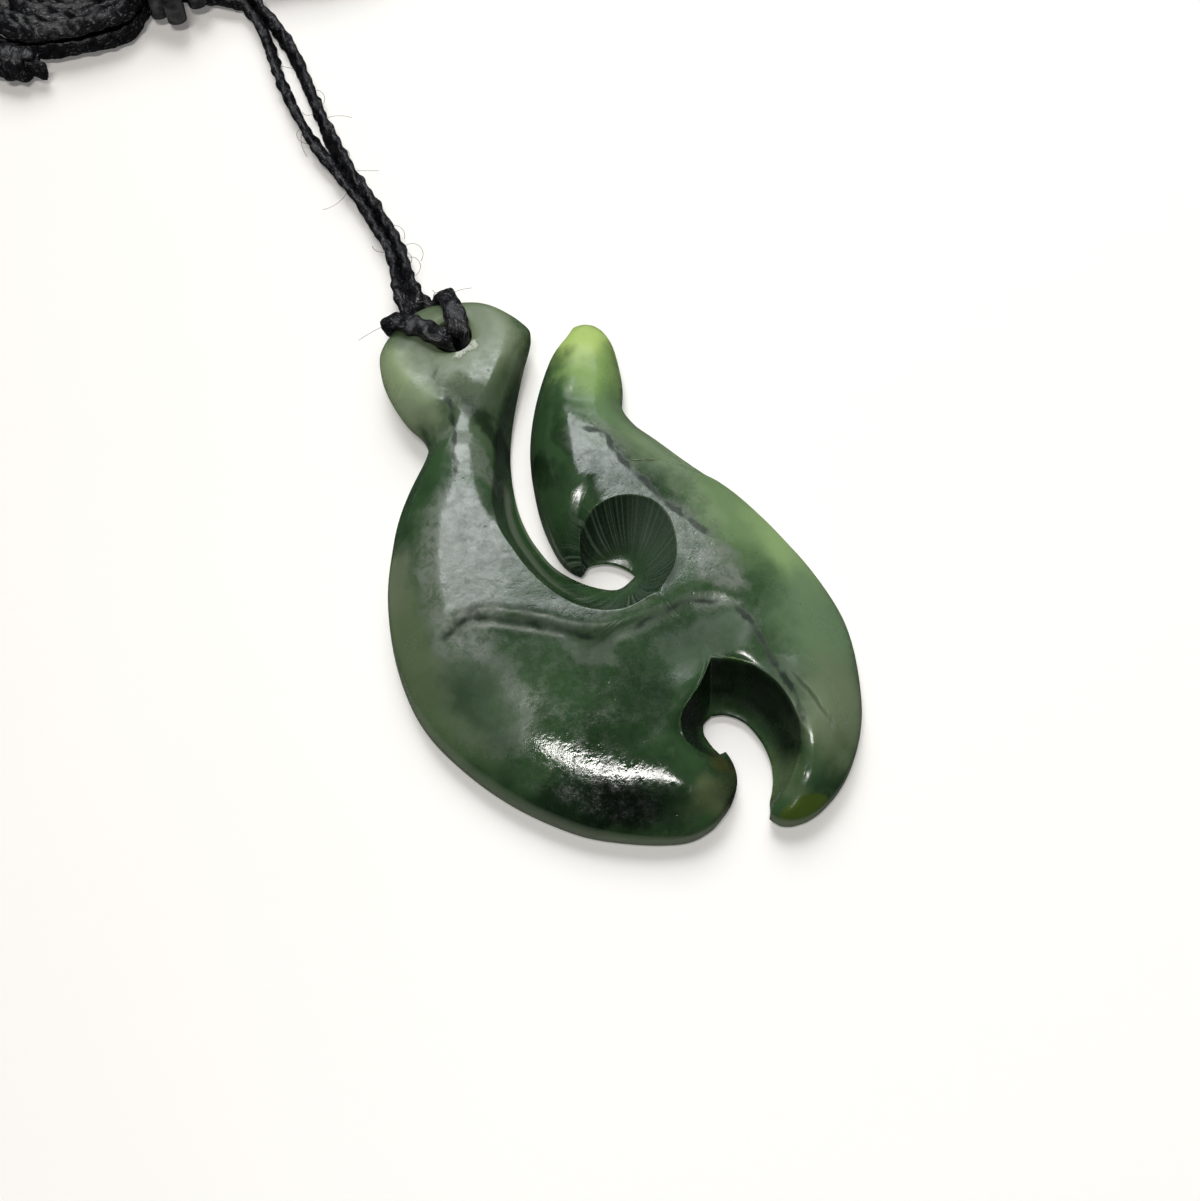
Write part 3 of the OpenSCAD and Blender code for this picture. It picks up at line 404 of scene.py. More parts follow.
stoneSet = {
    "flatAngle": 0.35, "shapeAngle": 1.2,  # which of the solid's triangles are joined
    "merge": 2e-6,  # distance in m between points that are one
    "softBelow": 24, "sharpFrom": 44,  # degrees between faces
    "levels": 1,  # besides the one that is applied before the carving
    "eye": (4.4, -2, 4.7), "notch": (3.4, -18.6, 5.6),  # x, y and reach of the two carved hollows
    # The line where the flat ends at the bulge, with the share of the step below it
    "step": [(-13.2, -1.2, 0), (-11.8, -0.8, 0.6), (-10.5, -0.4, 1), (-9.2, -0.5, 1), (-7.8, -1.3, 1),
             (-6.2, -2.7, 1), (-4.6, -4.2, 1), (-3.5, -5.4, 1), (-1.9, -6.9, 0.9), (0.5, -7.8, 0.7),
             (3.1, -8.1, 0.5), (5.7, -8.4, 0.35), (7.7, -9.6, 0.25), (8.8, -11.2, 0.1), (9, -14, 0)],
    "flat": 5.8, "stepDepth": 0.2, "stepReach": 1, "stepFade": (3, 15),
    # Lines past which the top falls away on their left: slope, reach in mm, and points with their share
    "folds": [
        (0.1, 4.5, [(6, 10.6, 0), (7.4, 8.9, 0.7), (8.1, 7, 1), (8, 5.5, 1), (8.3, 3.2, 1),
                    (8.8, -0.4, 1), (9.5, -2.6, 1), (10.2, -4.9, 1), (10.4, -7.2, 1), (10, -9.6, 0.6),
                    (9.4, -13, 0.2), (9, -16, 0)]),
        (0.08, 3.5, [(9.2, -12.5, 0), (7.7, -9.6, 0.8), (5.7, -8.4, 1), (3.1, -8.1, 1), (0.5, -7.8, 1),
                     (-1.9, -6.9, 0.6), (-3.5, -5.4, 0)]),
        (0.1, 4, [(9.4, -12.5, 0), (8.2, -10.4, 1), (5.7, -9, 1), (3.1, -8.6, 0.5), (1, -8.2, 0)]),
        (0.15, 4, [(-12.4, -2, 0), (-11.5, -0.4, 0.8), (-10, 2.8, 1), (-8.4, 5.6, 1), (-6.6, 8.1, 1),
                   (-4.5, 9.9, 1), (-3, 12.2, 1), (-1.7, 14.2, 0.8), (-1.2, 16, 0)]),
    ],
    "calm": (2.2, 6),  # how far beside the step its groove is smoothed, and how often
    "calmTop": (0.85, 4.6, 0.3),  # how upright, how high and how soft the points beside it are
    "calmNeck": (0.2, 15.2, 2.6, 0.7),  # x, y, reach and uprightness where the head meets the neck
    "neckEdges": (12, 2, 0.75),  # above which y, within which x and how upright they go soft
    "even": 3.6, "evenTurns": 14,  # reach of the fit that smooths the bulge, and easing turns
    "evenTop": (0.35, 2.2, 0.1),  # as calmTop, for the points of the fit
    "evenNear": 12, "evenFrom": (1.5, 1.2),  # points that a fit needs, and mm from the step where it starts
    "bulgeTo": (-3.2, 5, -11),  # x up to which it has no sharp edge, low and high; y between
    "bulgeBox": (7.5, -1, 0.5),  # x and y up to which it is evened, and how upright it is
    # a low ridge along the bulge: height, reach, and points with their share
    "ridge": (0.16, 2.6, [(-14.6, -7.6, 0), (-12.6, -9, 0.7), (-10.6, -11.4, 1), (-8.8, -13.9, 1),
                          (-7, -16.2, 1), (-5.3, -18, 1), (-3.6, -19.8, 0.9), (-2.4, -21.2, 0.5),
                          (-1.4, -22.6, 0)]),
    "tilt": 0.05, "tiltReach": 8, "tiltFrom": (2, 5),  # the bulge leans away from the flat
    "softRim": (-0.8, -15.2, 3.2),  # where the notch's rim is rounded
    "grooveTop": (4.4, 0.8), "softTop": 2.6,  # heights, and how upright a face is, where edges go soft
    "flatReach": 2.5, "flatTop": 0.9,  # how far beside the step the flat is brought level
    "flatFrom": (0.1, 0.4), "grooveWide": 1.1,
    # where masks start and over how much they come in: uprightness, and mm of height
    "wall": (0.93, 0.35), "paintedGirdleSheen": ((0.75, 0.3), (2.4, 0.6)), "top": ((0.15, 0.4), (2.2, 1.6)),
}

def ease(t):
    # 0 below 0 and 1 above 1, with a soft start and end
    t = min(1, max(0, t))
    return t * t * (3 - 2 * t)

def fromLine(x, y, line):
    # distance from a line of (x, y, share), the share there, and the side: above 0 on the left;
    # farther off, distance and share are a mean over more of the line, so that neither jumps
    line = np.array(line, float)
    start, way = line[:-1, :2], np.diff(line[:, :2], axis=0)
    off = np.array([x, y]) - start
    t = np.clip((off * way).sum(1) / (way ** 2).sum(1), 0, 1)
    d = np.hypot(*(off - way * t[:, None]).T)
    n = int(np.argmin(d))
    away = float(d[n])
    weight = np.exp((away - d) / (0.15 + 0.35 * away))
    weight /= weight.sum()
    share = float((weight * (line[:-1, 2] + np.diff(line[:, 2]) * t)).sum())
    side = way[n, 0] * off[n, 1] - way[n, 1] * off[n, 0]
    return away + (float((weight * d).sum()) - away) * ease((away - 1) / 3), share, side

def markEdges(bm, s):
    # sharp edges keep their crease, but not beside the step, on the bulge, the neck or the soft rim
    crease = bm.edges.layers.float.get("crease_edge") or bm.edges.layers.float.new("crease_edge")
    low, high, between = s["bulgeTo"]
    above, within, least = s["neckEdges"]
    for edge in bm.edges:
        if len(edge.link_faces) == 2:
            angle = math.degrees(edge.calc_face_angle(0))
            sharp = min(1, max(0, (angle - s["softBelow"]) / (s["sharpFrom"] - s["softBelow"])))
            x, y, z = (edge.verts[0].co + edge.verts[1].co) / 2 / mm
            sharp *= ease(math.hypot(x - s["softRim"][0], y - s["softRim"][1]) - s["softRim"][2] + 1)
            away, share, side = fromLine(x, y, s["step"])
            upright = edge.verts[0].normal.z
            if z > s["grooveTop"][0] and upright > s["grooveTop"][1]:
                sharp *= ease(away - s["calm"][0])
            onBulge = side < 0 and (x < low or x < high and y > between)
            atNeck = y > above and abs(x) < within and upright > least
            if z > s["softTop"] and (onBulge or atNeck):
                sharp = 0
            edge[crease] = sharp
    return crease

def smoothOut(bm, verts, turns, sideways):
    for turn in range(turns):
        bmesh.ops.smooth_vert(bm, verts=verts, factor=0.5, use_axis_x=sideways, use_axis_y=sideways,
                              use_axis_z=True)

def evenBulge(bm, crease, s):
    # the bulge's heights become those of a smooth surface that is fitted round each point
    upright, high, soft = s["evenTop"]
    top = [v for v in bm.verts if v.normal.z > upright and v.co.z > high * mm
           and max(e[crease] for e in v.link_edges) < soft]
    spots = np.array([v.co / mm for v in top])
    tree = KDTree(len(top))
    for number, (x, y, z) in enumerate(spots):
        tree.insert((x, y, 0), number)
    tree.balance()
    right, far, upright = s["bulgeBox"]
    moved = []
    for v, (x, y, z) in zip(top, spots):
        away, share, side = fromLine(x, y, s["step"])
        if side > 0 or x > right or y > far or v.normal.z < upright:
            continue
        near = [number for co, number, distance in tree.find_range((x, y, 0), s["even"])]
        if len(near) < s["evenNear"]:
            continue
        dx, dy = spots[near, 0] - x, spots[near, 1] - y
        weight = np.maximum(0, 1 - (dx ** 2 + dy ** 2) / s["even"] ** 2) ** 3
        terms = np.stack([np.ones(len(near)), dx, dy, dx ** 2, dx * dy, dy ** 2], 1)
        fit = np.linalg.lstsq(terms * weight[:, None], spots[near, 2] * weight, rcond=None)[0]
        v.co.z += (fit[0] - z) * ease(away / s["evenFrom"][0]) * mm
        if away > s["evenFrom"][1]:
            moved.append(v)
    smoothOut(bm, moved, s["evenTurns"], True)

def makeStone(s):
    bm = bmesh.new()
    bm.from_mesh(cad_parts["stone"].data)
    bmesh.ops.remove_doubles(bm, verts=bm.verts, dist=s["merge"])
    bmesh.ops.join_triangles(bm, faces=bm.faces, angle_face_threshold=s["flatAngle"],
                             angle_shape_threshold=s["shapeAngle"])
    markEdges(bm, s)
    maker = newPiece("stoneMaker", meshOf(bm, "stoneBlank"))
    maker.modifiers.new("Subdivision", "SUBSURF").levels = 1
    finer = bpy.data.meshes.new_from_object(maker.evaluated_get(bpy.context.evaluated_depsgraph_get()))
    bpy.data.objects.remove(maker)

    bm = bmesh.new()
    bm.from_mesh(finer)
    crease = markEdges(bm, s)
    rim, hollow, groove, paintedGirdleSheen = [bm.verts.layers.float.new(name)
                                   for name in ("rim", "hollow", "groove", "paintedGirdleSheen")]
    upright, high, soft = s["calmTop"]
    beside = [v for v in bm.verts if v.normal.z > upright and v.co.z > high * mm
              and fromLine(v.co.x / mm, v.co.y / mm, s["step"])[0] < s["calm"][0]
              and max(e[crease] for e in v.link_edges) < soft]
    x, y, reach, upright = s["calmNeck"]
    beside += [v for v in bm.verts if v.normal.z > upright and v not in beside
               and math.hypot(v.co.x / mm - x, v.co.y / mm - y) < reach]
    evenBulge(bm, crease, s)
    smoothOut(bm, beside, s["calm"][1], False)
    for v in bm.verts:
        x, y, z = v.co / mm
        v[rim] = max(e[crease] for e in v.link_edges)
        upright = v.normal.z
        start, over = s["wall"]
        lean = min(1, max(0, (start - upright) / over))
        near = max(1 - max(0, math.hypot(x - cx, y - cy) - reach) for cx, cy, reach in (s["eye"], s["notch"]))
        v[hollow] = lean * max(0, near)
        # mask of the low outer walls, where a painted reflection of the floor goes
        (start, over), (high, fade) = s["paintedGirdleSheen"]
        v[paintedGirdleSheen] = ease((start - upright) / over) * ease((high - z) / fade) * (1 - v[hollow])
        (start, over), (low, fade) = s["top"]
        onTop = ease((upright - start) / over) * ease((z - low) / fade)
        away, share, side = fromLine(x, y, s["step"])
        v[groove] = share * ease(1 - away / s["grooveWide"])
        if side > 0 and away < s["flatReach"] and upright > s["flatTop"]:  # level up to the step
            start, over = s["flatFrom"]
            level = ease((away - start) / over) * share * ease(s["flatReach"] - away)
            v.co.z += (s["flat"] * mm - v.co.z) * level
        if side < 0:  # the bulge lies lower than the flat
            rise = max(0, 1 - away / s["stepReach"])
            keep = 1 - ease((away - s["stepFade"][0]) / (s["stepFade"][1] - s["stepFade"][0]))
            drop = s["stepDepth"] * share * (1 - rise * rise) * keep
            start, over = s["tiltFrom"]
            lean = share + (1 - share) * ease((away - start) / over)
            drop += s["tilt"] * min(away, s["tiltReach"]) * lean
            v.co.z -= drop * onTop * mm
        height, reach, line = s["ridge"]
        away, share, side = fromLine(x, y, line)
        v.co.z += height * share * math.exp(-(away / reach) ** 2) * onTop * mm
        for slope, reach, line in s["folds"]:
            away, share, side = fromLine(x, y, line)
            if side > 0 and away < 2 * reach:
                v.co.z -= slope * share * min(away, reach) * ease(2 - away / reach) * onTop * mm
    piece = newPiece("hookStone", meshOf(bm, "hookStone"))
    smooth = piece.modifiers.new("Subdivision", "SUBSURF")
    smooth.levels = smooth.render_levels = s["levels"]
    piece.data.shade_smooth()
    return piece

hookStone = makeStone(stoneSet)
print("stone ready:", len(hookStone.data.polygons), "faces before subdivision")


class Wire:
    # an output socket; Python's operators on it add the Math nodes
    def __init__(self, look, socket):
        self.look, self.socket = look, socket

    def __add__(self, other):
        return self.look.math("ADD", self, other)

    def __sub__(self, other):
        return self.look.math("SUBTRACT", self, other)

    def __rsub__(self, other):
        return self.look.math("SUBTRACT", other, self)

    def __mul__(self, other):
        return self.look.math("MULTIPLY", self, other)

    def __pow__(self, other):
        return self.look.math("POWER", self, other)

    __radd__, __rmul__ = __add__, __mul__


class Look:
    # one material: its node tree and the few nodes that are used again and again
    def __init__(self, name):
        self.material = bpy.data.materials.new(name)
        self.material.use_nodes = True
        self.tree = self.material.node_tree
        self.shader = self.tree.nodes["Principled BSDF"]

    def feed(self, socket, value):
        if isinstance(value, Wire):
            self.tree.links.new(value.socket, socket)
        elif socket.type == "RGBA" and len(value) == 3:
            socket.default_value = (*value, 1)
        else:
            socket.default_value = value

    def node(self, kind, settings, values, out=0):
        made = self.tree.nodes.new(kind)
        for key, value in settings.items():
            setattr(made, key, value)
        for key, value in values.items():
            self.feed(made.inputs[key], value)
        return Wire(self, made.outputs[out])

    def math(self, operation, *values):
        return self.node("ShaderNodeMath", {"operation": operation}, dict(enumerate(values)))

    def place(self):
        return self.node("ShaderNodeTexCoord", {}, {}, "Object")

    def attribute(self, name):
        return self.node("ShaderNodeAttribute", {"attribute_name": name}, {}, "Fac")

    def noise(self, where, scale, detail=3, rough=0.5, out=0):
        return self.node("ShaderNodeTexNoise", {}, {"Vector": where, "Scale": scale, "Detail": detail,
                                                    "Roughness": rough}, out)

    def cells(self, where, scale):
        return self.node("ShaderNodeTexVoronoi", {}, {"Vector": where, "Scale": scale})

    def between(self, value, low, high, start=0, end=1):
        return self.node("ShaderNodeMapRange", {"interpolation_type": "SMOOTHSTEP"},
                         {"Value": value, "From Min": low, "From Max": high, "To Min": start, "To Max": end})

    def mix(self, mask, a, b):
        return self.node("ShaderNodeMix", {"data_type": "RGBA"}, {0: mask, 6: a, 7: b}, 2)

    def stretch(self, where, scale, turn=(0, 0, 0), location=(0, 0, 0)):
        return self.node("ShaderNodeMapping", {}, {"Vector": where, "Scale": scale, "Rotation": turn,
                                                   "Location": location})

    def spot(self, where, x, y, across, along, turn, core=0.25):
        # 1 in the middle of an ellipse, 0 from its edge outwards
        inside = self.node("ShaderNodeMapping", {"vector_type": "TEXTURE"}, {
            "Vector": where, "Location": (x * mm, y * mm, 0), "Rotation": (0, 0, math.radians(turn)),
            "Scale": (across * mm, along * mm, 1)})
        away = self.node("ShaderNodeVectorMath", {"operation": "LENGTH"}, {0: inside}, "Value")
        return self.between(away, core, 1, 1, 0)

    def shift(self, where, by, amount):
        # where, moved by a noise colour
        centred = self.node("ShaderNodeVectorMath", {"operation": "SUBTRACT"}, {0: by, 1: (0.5, 0.5, 0.5)})
        return self.node("ShaderNodeVectorMath", {"operation": "MULTIPLY_ADD"},
                         {0: centred, 1: (amount, amount, amount), 2: where})

    def bump(self, height, distance, under=None):
        values = {"Height": height, "Distance": distance}
        if under is not None:
            values["Normal"] = under
        return self.node("ShaderNodeBump", {}, values)

    def finish(self, **sockets):
        for key, value in sockets.items():
            self.feed(self.shader.inputs[key.replace("_", " ")], value)
        return self.material


greenstone = {
    "dark": (0.017, 0.044, 0.015), "body": (0.036, 0.08, 0.031), "cloud": (0.075, 0.13, 0.06),
    "drift": 0.0042, "wander": 0.0009,  # m by which patches and lines stray from their place
    "tones": [
        # x, y, reach across and along in mm, turn in degrees, share, colour
        (-14.2, 1, 2.9, 10, -14, 0.85, (0.12, 0.17, 0.085)),  # left edge of the body
        (-15, -6.5, 2.2, 7, 14, 0.6, (0.09, 0.135, 0.065)),
        (-12.2, 6, 1.8, 4.5, -32, 0.8, (0.15, 0.185, 0.115)),
        (-9.6, -6.8, 4.6, 4, 20, 0.45, (0.06, 0.105, 0.05)),
        (-10.4, 3, 2.6, 8.5, -28, 0.6, (0.07, 0.11, 0.055)),
        (13, 4.5, 5.6, 8.5, 28, 0.9, (0.21, 0.29, 0.165)),  # outer edge of the limb, with the next four: its own lighter green with painted sheen
        (14.2, -4.5, 5.6, 8, 8, 0.9, (0.18, 0.28, 0.125)),
        (15.6, -8.5, 3.4, 7.4, 2, 0.85, (0.27, 0.4, 0.165)),
        (13.4, -15.5, 5.4, 8, -14, 0.9, (0.14, 0.225, 0.118)),
        (10.6, -21.6, 5, 6.4, -36, 0.92, (0.16, 0.21, 0.12)),
        (10.4, 11, 4.4, 6.4, -14, 0.85, (0.135, 0.225, 0.105)),  # barb
        (11.4, 14.2, 4, 5.4, -26, 0.85, (0.24, 0.38, 0.11)),
        (12, 16.6, 3.2, 4, -30, 0.95, (0.42, 0.57, 0.165)),
        (3, 21.6, 8.2, 7.4, 0, 0.95, (0.155, 0.2, 0.115)),  # head
        (-0.4, 14.6, 4.6, 5.6, 8, 0.75, (0.09, 0.13, 0.072)),  # neck
        (6.6, 19.6, 2, 5.6, -8, 0.8, (0.2, 0.25, 0.155)),  # right of the head
        (-3.2, 21.8, 3.1, 6.4, 2, 0.95, (0.27, 0.35, 0.19)),  # left of the head
        (-3.2, 18.2, 2.2, 3.6, 14, 0.8, (0.23, 0.3, 0.18)),
        (1.4, 16, 3, 2.6, 0, 0.6, (0.085, 0.12, 0.07)),  # under the head
        (-0.4, -22.2, 3.4, 2.6, 0, 0.8, (0.105, 0.13, 0.06)),  # end of the curl
        (1.4, -20.4, 0.9, 2, 15, 0.6, (0.11, 0.095, 0.025)),
        (4.4, -23.4, 1.9, 4.2, -8, 0.85, (0.085, 0.13, 0.06)),  # inner side of the tail
        (-7.8, -18.8, 8.6, 3.1, -35, 0.98, (0.0012, 0.004, 0.0012)),  # under the bright band, with the next two: painted shade
        (-11.4, -16.2, 4.8, 2.4, -40, 0.8, (0.006, 0.018, 0.006)),
        (-6.3, -14, 3.6, 1.5, -36, 0.55, (0.01, 0.028, 0.01)),
        (3.7, -10, 5, 2.4, -6, 0.55, (0.016, 0.044, 0.019)),
        (-0.6, -13.6, 2, 2.6, 0, 0.6, (0.012, 0.034, 0.013)),  # painted shade on the shoulder of the notch
        (1.6, 11, 1.4, 8.5, 14, 0.85, (0.005, 0.015, 0.005)),  # painted shade on the right bevel of the shank
        (5.3, 7.6, 1.2, 6.5, -12, 0.8, (0.012, 0.034, 0.01)),  # painted shade on the left bevel of the barb
    ],
    "paintedSheen": (0.19, 0.215, 0.18),  # painted reflection on the flats, mottled
    "paintedSheenSpots": [  # place as in tones, share
        (-8, 3.2, 4.4, 9.5, -28, 0.75), (-1.9, 11.6, 1.3, 4.4, 10, 0.6), (9, -4.6, 2.2, 5.6, 8, 0.55),
        (9.4, -7.6, 2.2, 2.6, 0, 0.75), (7.2, 6.6, 2.6, 3.4, 20, 0.35), (2.2, -5.6, 4.2, 1.6, 0, 0.35),
    ],
    "dull": [
        # place as in tones, added roughness
        (2.4, 23.4, 9, 6.6, 0, 0.34), (11.5, 15.5, 5, 5, 0, 0.26), (-12.2, -5.4, 4.4, 7.6, 10, 0.55),
        (-2.6, -7.4, 2.8, 1.8, -30, 0.35), (5.2, -12, 5.2, 3.2, -15, 0.4),
        (9, -19.6, 2.8, 5.2, 12, 0.34), (14.5, -7, 4.6, 14, 6, 0.22),
    ],
    # painted reflection of the floor on the low outer walls
    "paintedGirdleSheen": (0.21, 0.25, 0.18),
    "facet": (4.3, -26.7, 2.3, 1, -12, 0.9, (0.06, 0.1, 0.01)),  # at the tail's end
    # painted shade on the walls of the hollows, and the places in them that take another of these colours
    "eye": (0.008, 0.024, 0.01), "eyeLight": (0.075, 0.125, 0.075), "eyeLightAt": (8, -2, 3.6, 5, 0),
    "notch": (0.001, 0.006, 0.001), "notchAt": (3.4, -18, 9, 9, 0, 0.8),
    "tailWall": (0.08, 0.125, 0.055), "tailWallAt": (4.6, -24.4, 2.6, 3.6, 0),
    "slotAt": (3.9, 9, 4.6, 13.5, 6, 0.75),
    # colour of the dark lines in the creases: painted shade
    "line": (0.005, 0.014, 0.007),
    "lines": [
        # width, share, and points of the dark lines of painted shade in the carving's corners, in mm
        (0.4, 0.55, [(-11.9, -1), (-10.6, -0.4), (-9.2, -0.5), (-7.8, -1.5), (-6.2, -3), (-4.6, -4.4),
                     (-3.4, -5.8), (-1.9, -7.2)]),
        (0.4, 0.3, [(-9.6, 0), (-7.9, 0), (-6.2, -1.3), (-4.9, -2.8)]),
        (0.4, 0.55, [(0.6, -8), (3.1, -8.2), (5.7, -8.5), (7.6, -9.8)]),
        (0.4, 0.9, [(6.8, 8.9), (8.2, 7.4), (7.9, 5.5), (8.3, 3.2), (8.8, -0.4), (9.5, -2.6),
                    (10.2, -4.9)]),
        (0.4, 0.9, [(8.6, -10.7), (8.8, -13.1), (8.6, -14.9), (8.4, -17), (8.3, -19.2), (7.8, -21.4)]),
        (0.95, 0.45, [(-3, -1.4), (-1.6, -3.4), (0.4, -4.8), (2.8, -5.8), (5.1, -6.2), (7, -5.2)]),
        (0.36, 0.85, [(-3.9, 10.6), (-2.7, 12.7), (-1.6, 14.4), (-0.9, 16), (-0.6, 17.4)]),
    ],
    "wear": (0.16, 0.22, 0.14), "chip": (0.6, 0.64, 0.55), "fleck": (0.008, 0.018, 0.009),
    "eyeCentre": (4.2, -2.6), "ray": (0.15, 0.205, 0.15),  # fine cuts round the eye's wall
    "chips": [(2.6, 20.45, 1.1, 0.42, 8), (3.6, 20.7, 0.8, 0.8, 30)],
    "gloss": 0.13, "waxy": 0.27,  # lowest and highest roughness of the polish
    "neckAt": (0.7, 17, 2, 3.6, 4), "bandAt": (-6.6, -15.2, 7.4, 3, -42),
    "sleekAt": (-8, -15.6, 9.5, 5.5, -42, 0.6),
    # scale, detail and roughness of each noise
    "noises": {
        "drift": (330, 3, 0.6), "broad": (130, 4, 0.55), "fine": (620, 5, 0.62), "veins": (900, 4, 0.65),
        "mottled": (1000, 5, 0.7), "flecks": (1500, 3, 0.7), "wander": (700, 4, 0.6),
        "broken": (420, 3, 0.5), "worn": (1400, 4, 0.7), "rough": (2600, 4, 0.8), "chips": (1900, 3, 0.7),
        "speckle": (1100, 4, 0.75), "pitted": (380, 2, 0.5), "scratches": (5200, 2, 0.5),
        "handMade": (260, 2, 0.5), "band": (1700, 3, 0.6),
    },
    "relief": {  # depth of the bumps, in m
        "handMade": 0.00002, "speckle": 0.000018, "pits": 0.000012, "neck": 0.00016, "band": 0.00003,
        "scratches": 0.000008, "chips": 0.00016,
    },
    "ior": 1.56,
    "inside": {"Weight": 0.25, "Radius": (0.7, 1, 0.35), "Scale": 0.001},  # light under the surface
}

def makeGreenstone(s):
    look = Look("greenstone")
    at = look.place()
    noise = lambda where, name, **more: look.noise(where, *s["noises"][name], **more)
    drift = look.shift(at, noise(at, "drift", out=1), s["drift"])
    fine = noise(drift, "fine")
    veins = noise(look.stretch(drift, (1, 0.35, 1), (0, 0, 0.6)), "veins")
    colour = look.mix(look.between(noise(at, "broad"), 0.36, 0.62), s["dark"], s["body"])
    colour = look.mix(look.between(fine, 0.5, 0.78) * 0.45, colour, s["cloud"])
    for *place, share, tone in s["tones"]:
        colour = look.mix(look.spot(drift, *place) * share, colour, tone)
    colour = look.mix(look.between(veins, 0.6, 0.8) * 0.25, colour, s["cloud"])
    # painted reflection on the flats, broken up by a mottle
    mottled = look.between(noise(drift, "mottled"), 0.36, 0.6, 0.25, 1)
    for *place, share in s["paintedSheenSpots"]:
        colour = look.mix(look.spot(drift, *place, 0.6) * mottled * share, colour, s["paintedSheen"])
    *place, share, tone = s["facet"]
    colour = look.mix(look.spot(at, *place, 0.8) * share, colour, tone)
    colour = look.mix(look.between(noise(at, "flecks"), 0.7, 0.8) * 0.6, colour, s["fleck"])

    wander = look.shift(at, noise(at, "wander", out=1), s["wander"])
    # painted shade lines along the creases
    lines = 0
    for width, share, points in s["lines"]:
        for (ax, ay), (bx, by) in zip(points, points[1:]):
            turn = math.degrees(math.atan2(ax - bx, by - ay))
            half = 0.5 * math.hypot(bx - ax, by - ay) + width
            place = (ax + bx) / 2, (ay + by) / 2, width, half, turn
            lines = look.spot(wander, *place, 0) * (2 * share) + lines
    broken = look.between(noise(at, "broken"), 0.3, 0.5, 0.35, 1)
    lines = look.math("MINIMUM", lines, 1) * broken
    colour = look.mix(lines * 0.85, colour, s["line"])

    # the walls of the hollows are painted darker: painted shade
    hollow = look.attribute("hollow")
    inNotch = look.spot(at, *s["notchAt"])
    paintedHollowShade = look.mix(look.spot(at, *s["eyeLightAt"]), s["eye"], s["eyeLight"])
    paintedHollowShade = look.mix(inNotch, paintedHollowShade, s["notch"])
    paintedHollowShade = look.mix(look.spot(at, *s["tailWallAt"]), paintedHollowShade, s["tailWall"])
    colour = look.mix(hollow * look.between(fine, 0.3, 0.7, 0.95, 0.75), colour, paintedHollowShade)
    eyeX, eyeY = s["eyeCentre"]
    aboutEye = look.node("ShaderNodeTexGradient", {"gradient_type": "RADIAL"},
                         {"Vector": look.stretch(at, (1, 1, 1), location=(-eyeX * mm, -eyeY * mm, 0))})
    rays = look.node("ShaderNodeTexNoise", {"noise_dimensions": "1D"},
                     {"W": aboutEye, "Scale": 90, "Detail": 4, "Roughness": 0.7})
    rays = look.between(rays, 0.48, 0.62) * hollow * (1 - inNotch)
    colour = look.mix(rays * 0.7, colour, s["ray"])
    # the low outer walls are painted lighter: painted reflection of the floor
    paintedGirdleSheen = look.attribute("paintedGirdleSheen") * (1 - look.spot(at, *s["slotAt"]))
    colour = look.mix(paintedGirdleSheen * 0.75, colour, s["paintedGirdleSheen"])
    worn = look.attribute("rim") ** 7 * look.between(noise(at, "worn"), 0.3, 0.62)
    colour = look.mix(worn * 0.45, colour, s["wear"])
    rough = noise(at, "rough")
    chips = 0
    jagged = look.shift(at, noise(at, "chips", out=1), s["wander"])
    for place in s["chips"]:
        chips = look.spot(jagged, *place, 0.55) + chips
    chips = look.math("MINIMUM", chips * look.between(rough, 0.34, 0.46), 1)
    colour = look.mix(chips * 0.85, colour, s["chip"])
    speckle = noise(at, "speckle")
    pitted = look.between(noise(at, "pitted"), 0.56, 0.66)
    pits = 1 - look.between(look.cells(at, 1300), 0.06, 0.2, 1, 0) * pitted
    scratch = noise(look.stretch(at, (1, 0.03, 1), (0, 0, 0.9)), "scratches")
    heights = {
        "handMade": noise(at, "handMade"), "speckle": speckle, "pits": pits,
        "neck": rough * look.spot(drift, *s["neckAt"]),
        "band": noise(at, "band") * look.spot(drift, *s["bandAt"]),
        "scratches": scratch * (0.15 + hollow), "chips": rough * chips,
    }
    normal = None
    for name, depth in s["relief"].items():
        normal = look.bump(heights[name], depth, normal)
    gloss = s["gloss"] + look.between(speckle, 0.3, 0.7) * (s["waxy"] - s["gloss"]) + hollow * 0.1
    gloss = gloss + chips * 0.4 + lines * 0.3 + look.attribute("groove") * 0.4
    gloss = gloss - look.spot(drift, *s["sleekAt"]) * 0.07
    for *place, more in s["dull"]:
        gloss = gloss + look.spot(drift, *place, 0.2) * more
    inside = {"Subsurface_" + key: value for key, value in s["inside"].items()}
    return look.finish(Base_Color=colour, Roughness=gloss, Normal=normal, IOR=s["ior"], **inside)


waxedCord = {
    # deep is painted shade in the grooves between the strands, crest the colour on their tops
    "deep": (0.003, 0.003, 0.004), "crest": (0.01, 0.01, 0.012), "paintedGlint": (0.21, 0.215, 0.225),
    "speck": (0.3, 0.3, 0.31),
    "yarn": 0.00004, "grain": 0.00003,  # depth of the bumps, in m
    "gloss": 0.13, "ior": 1.48,
}

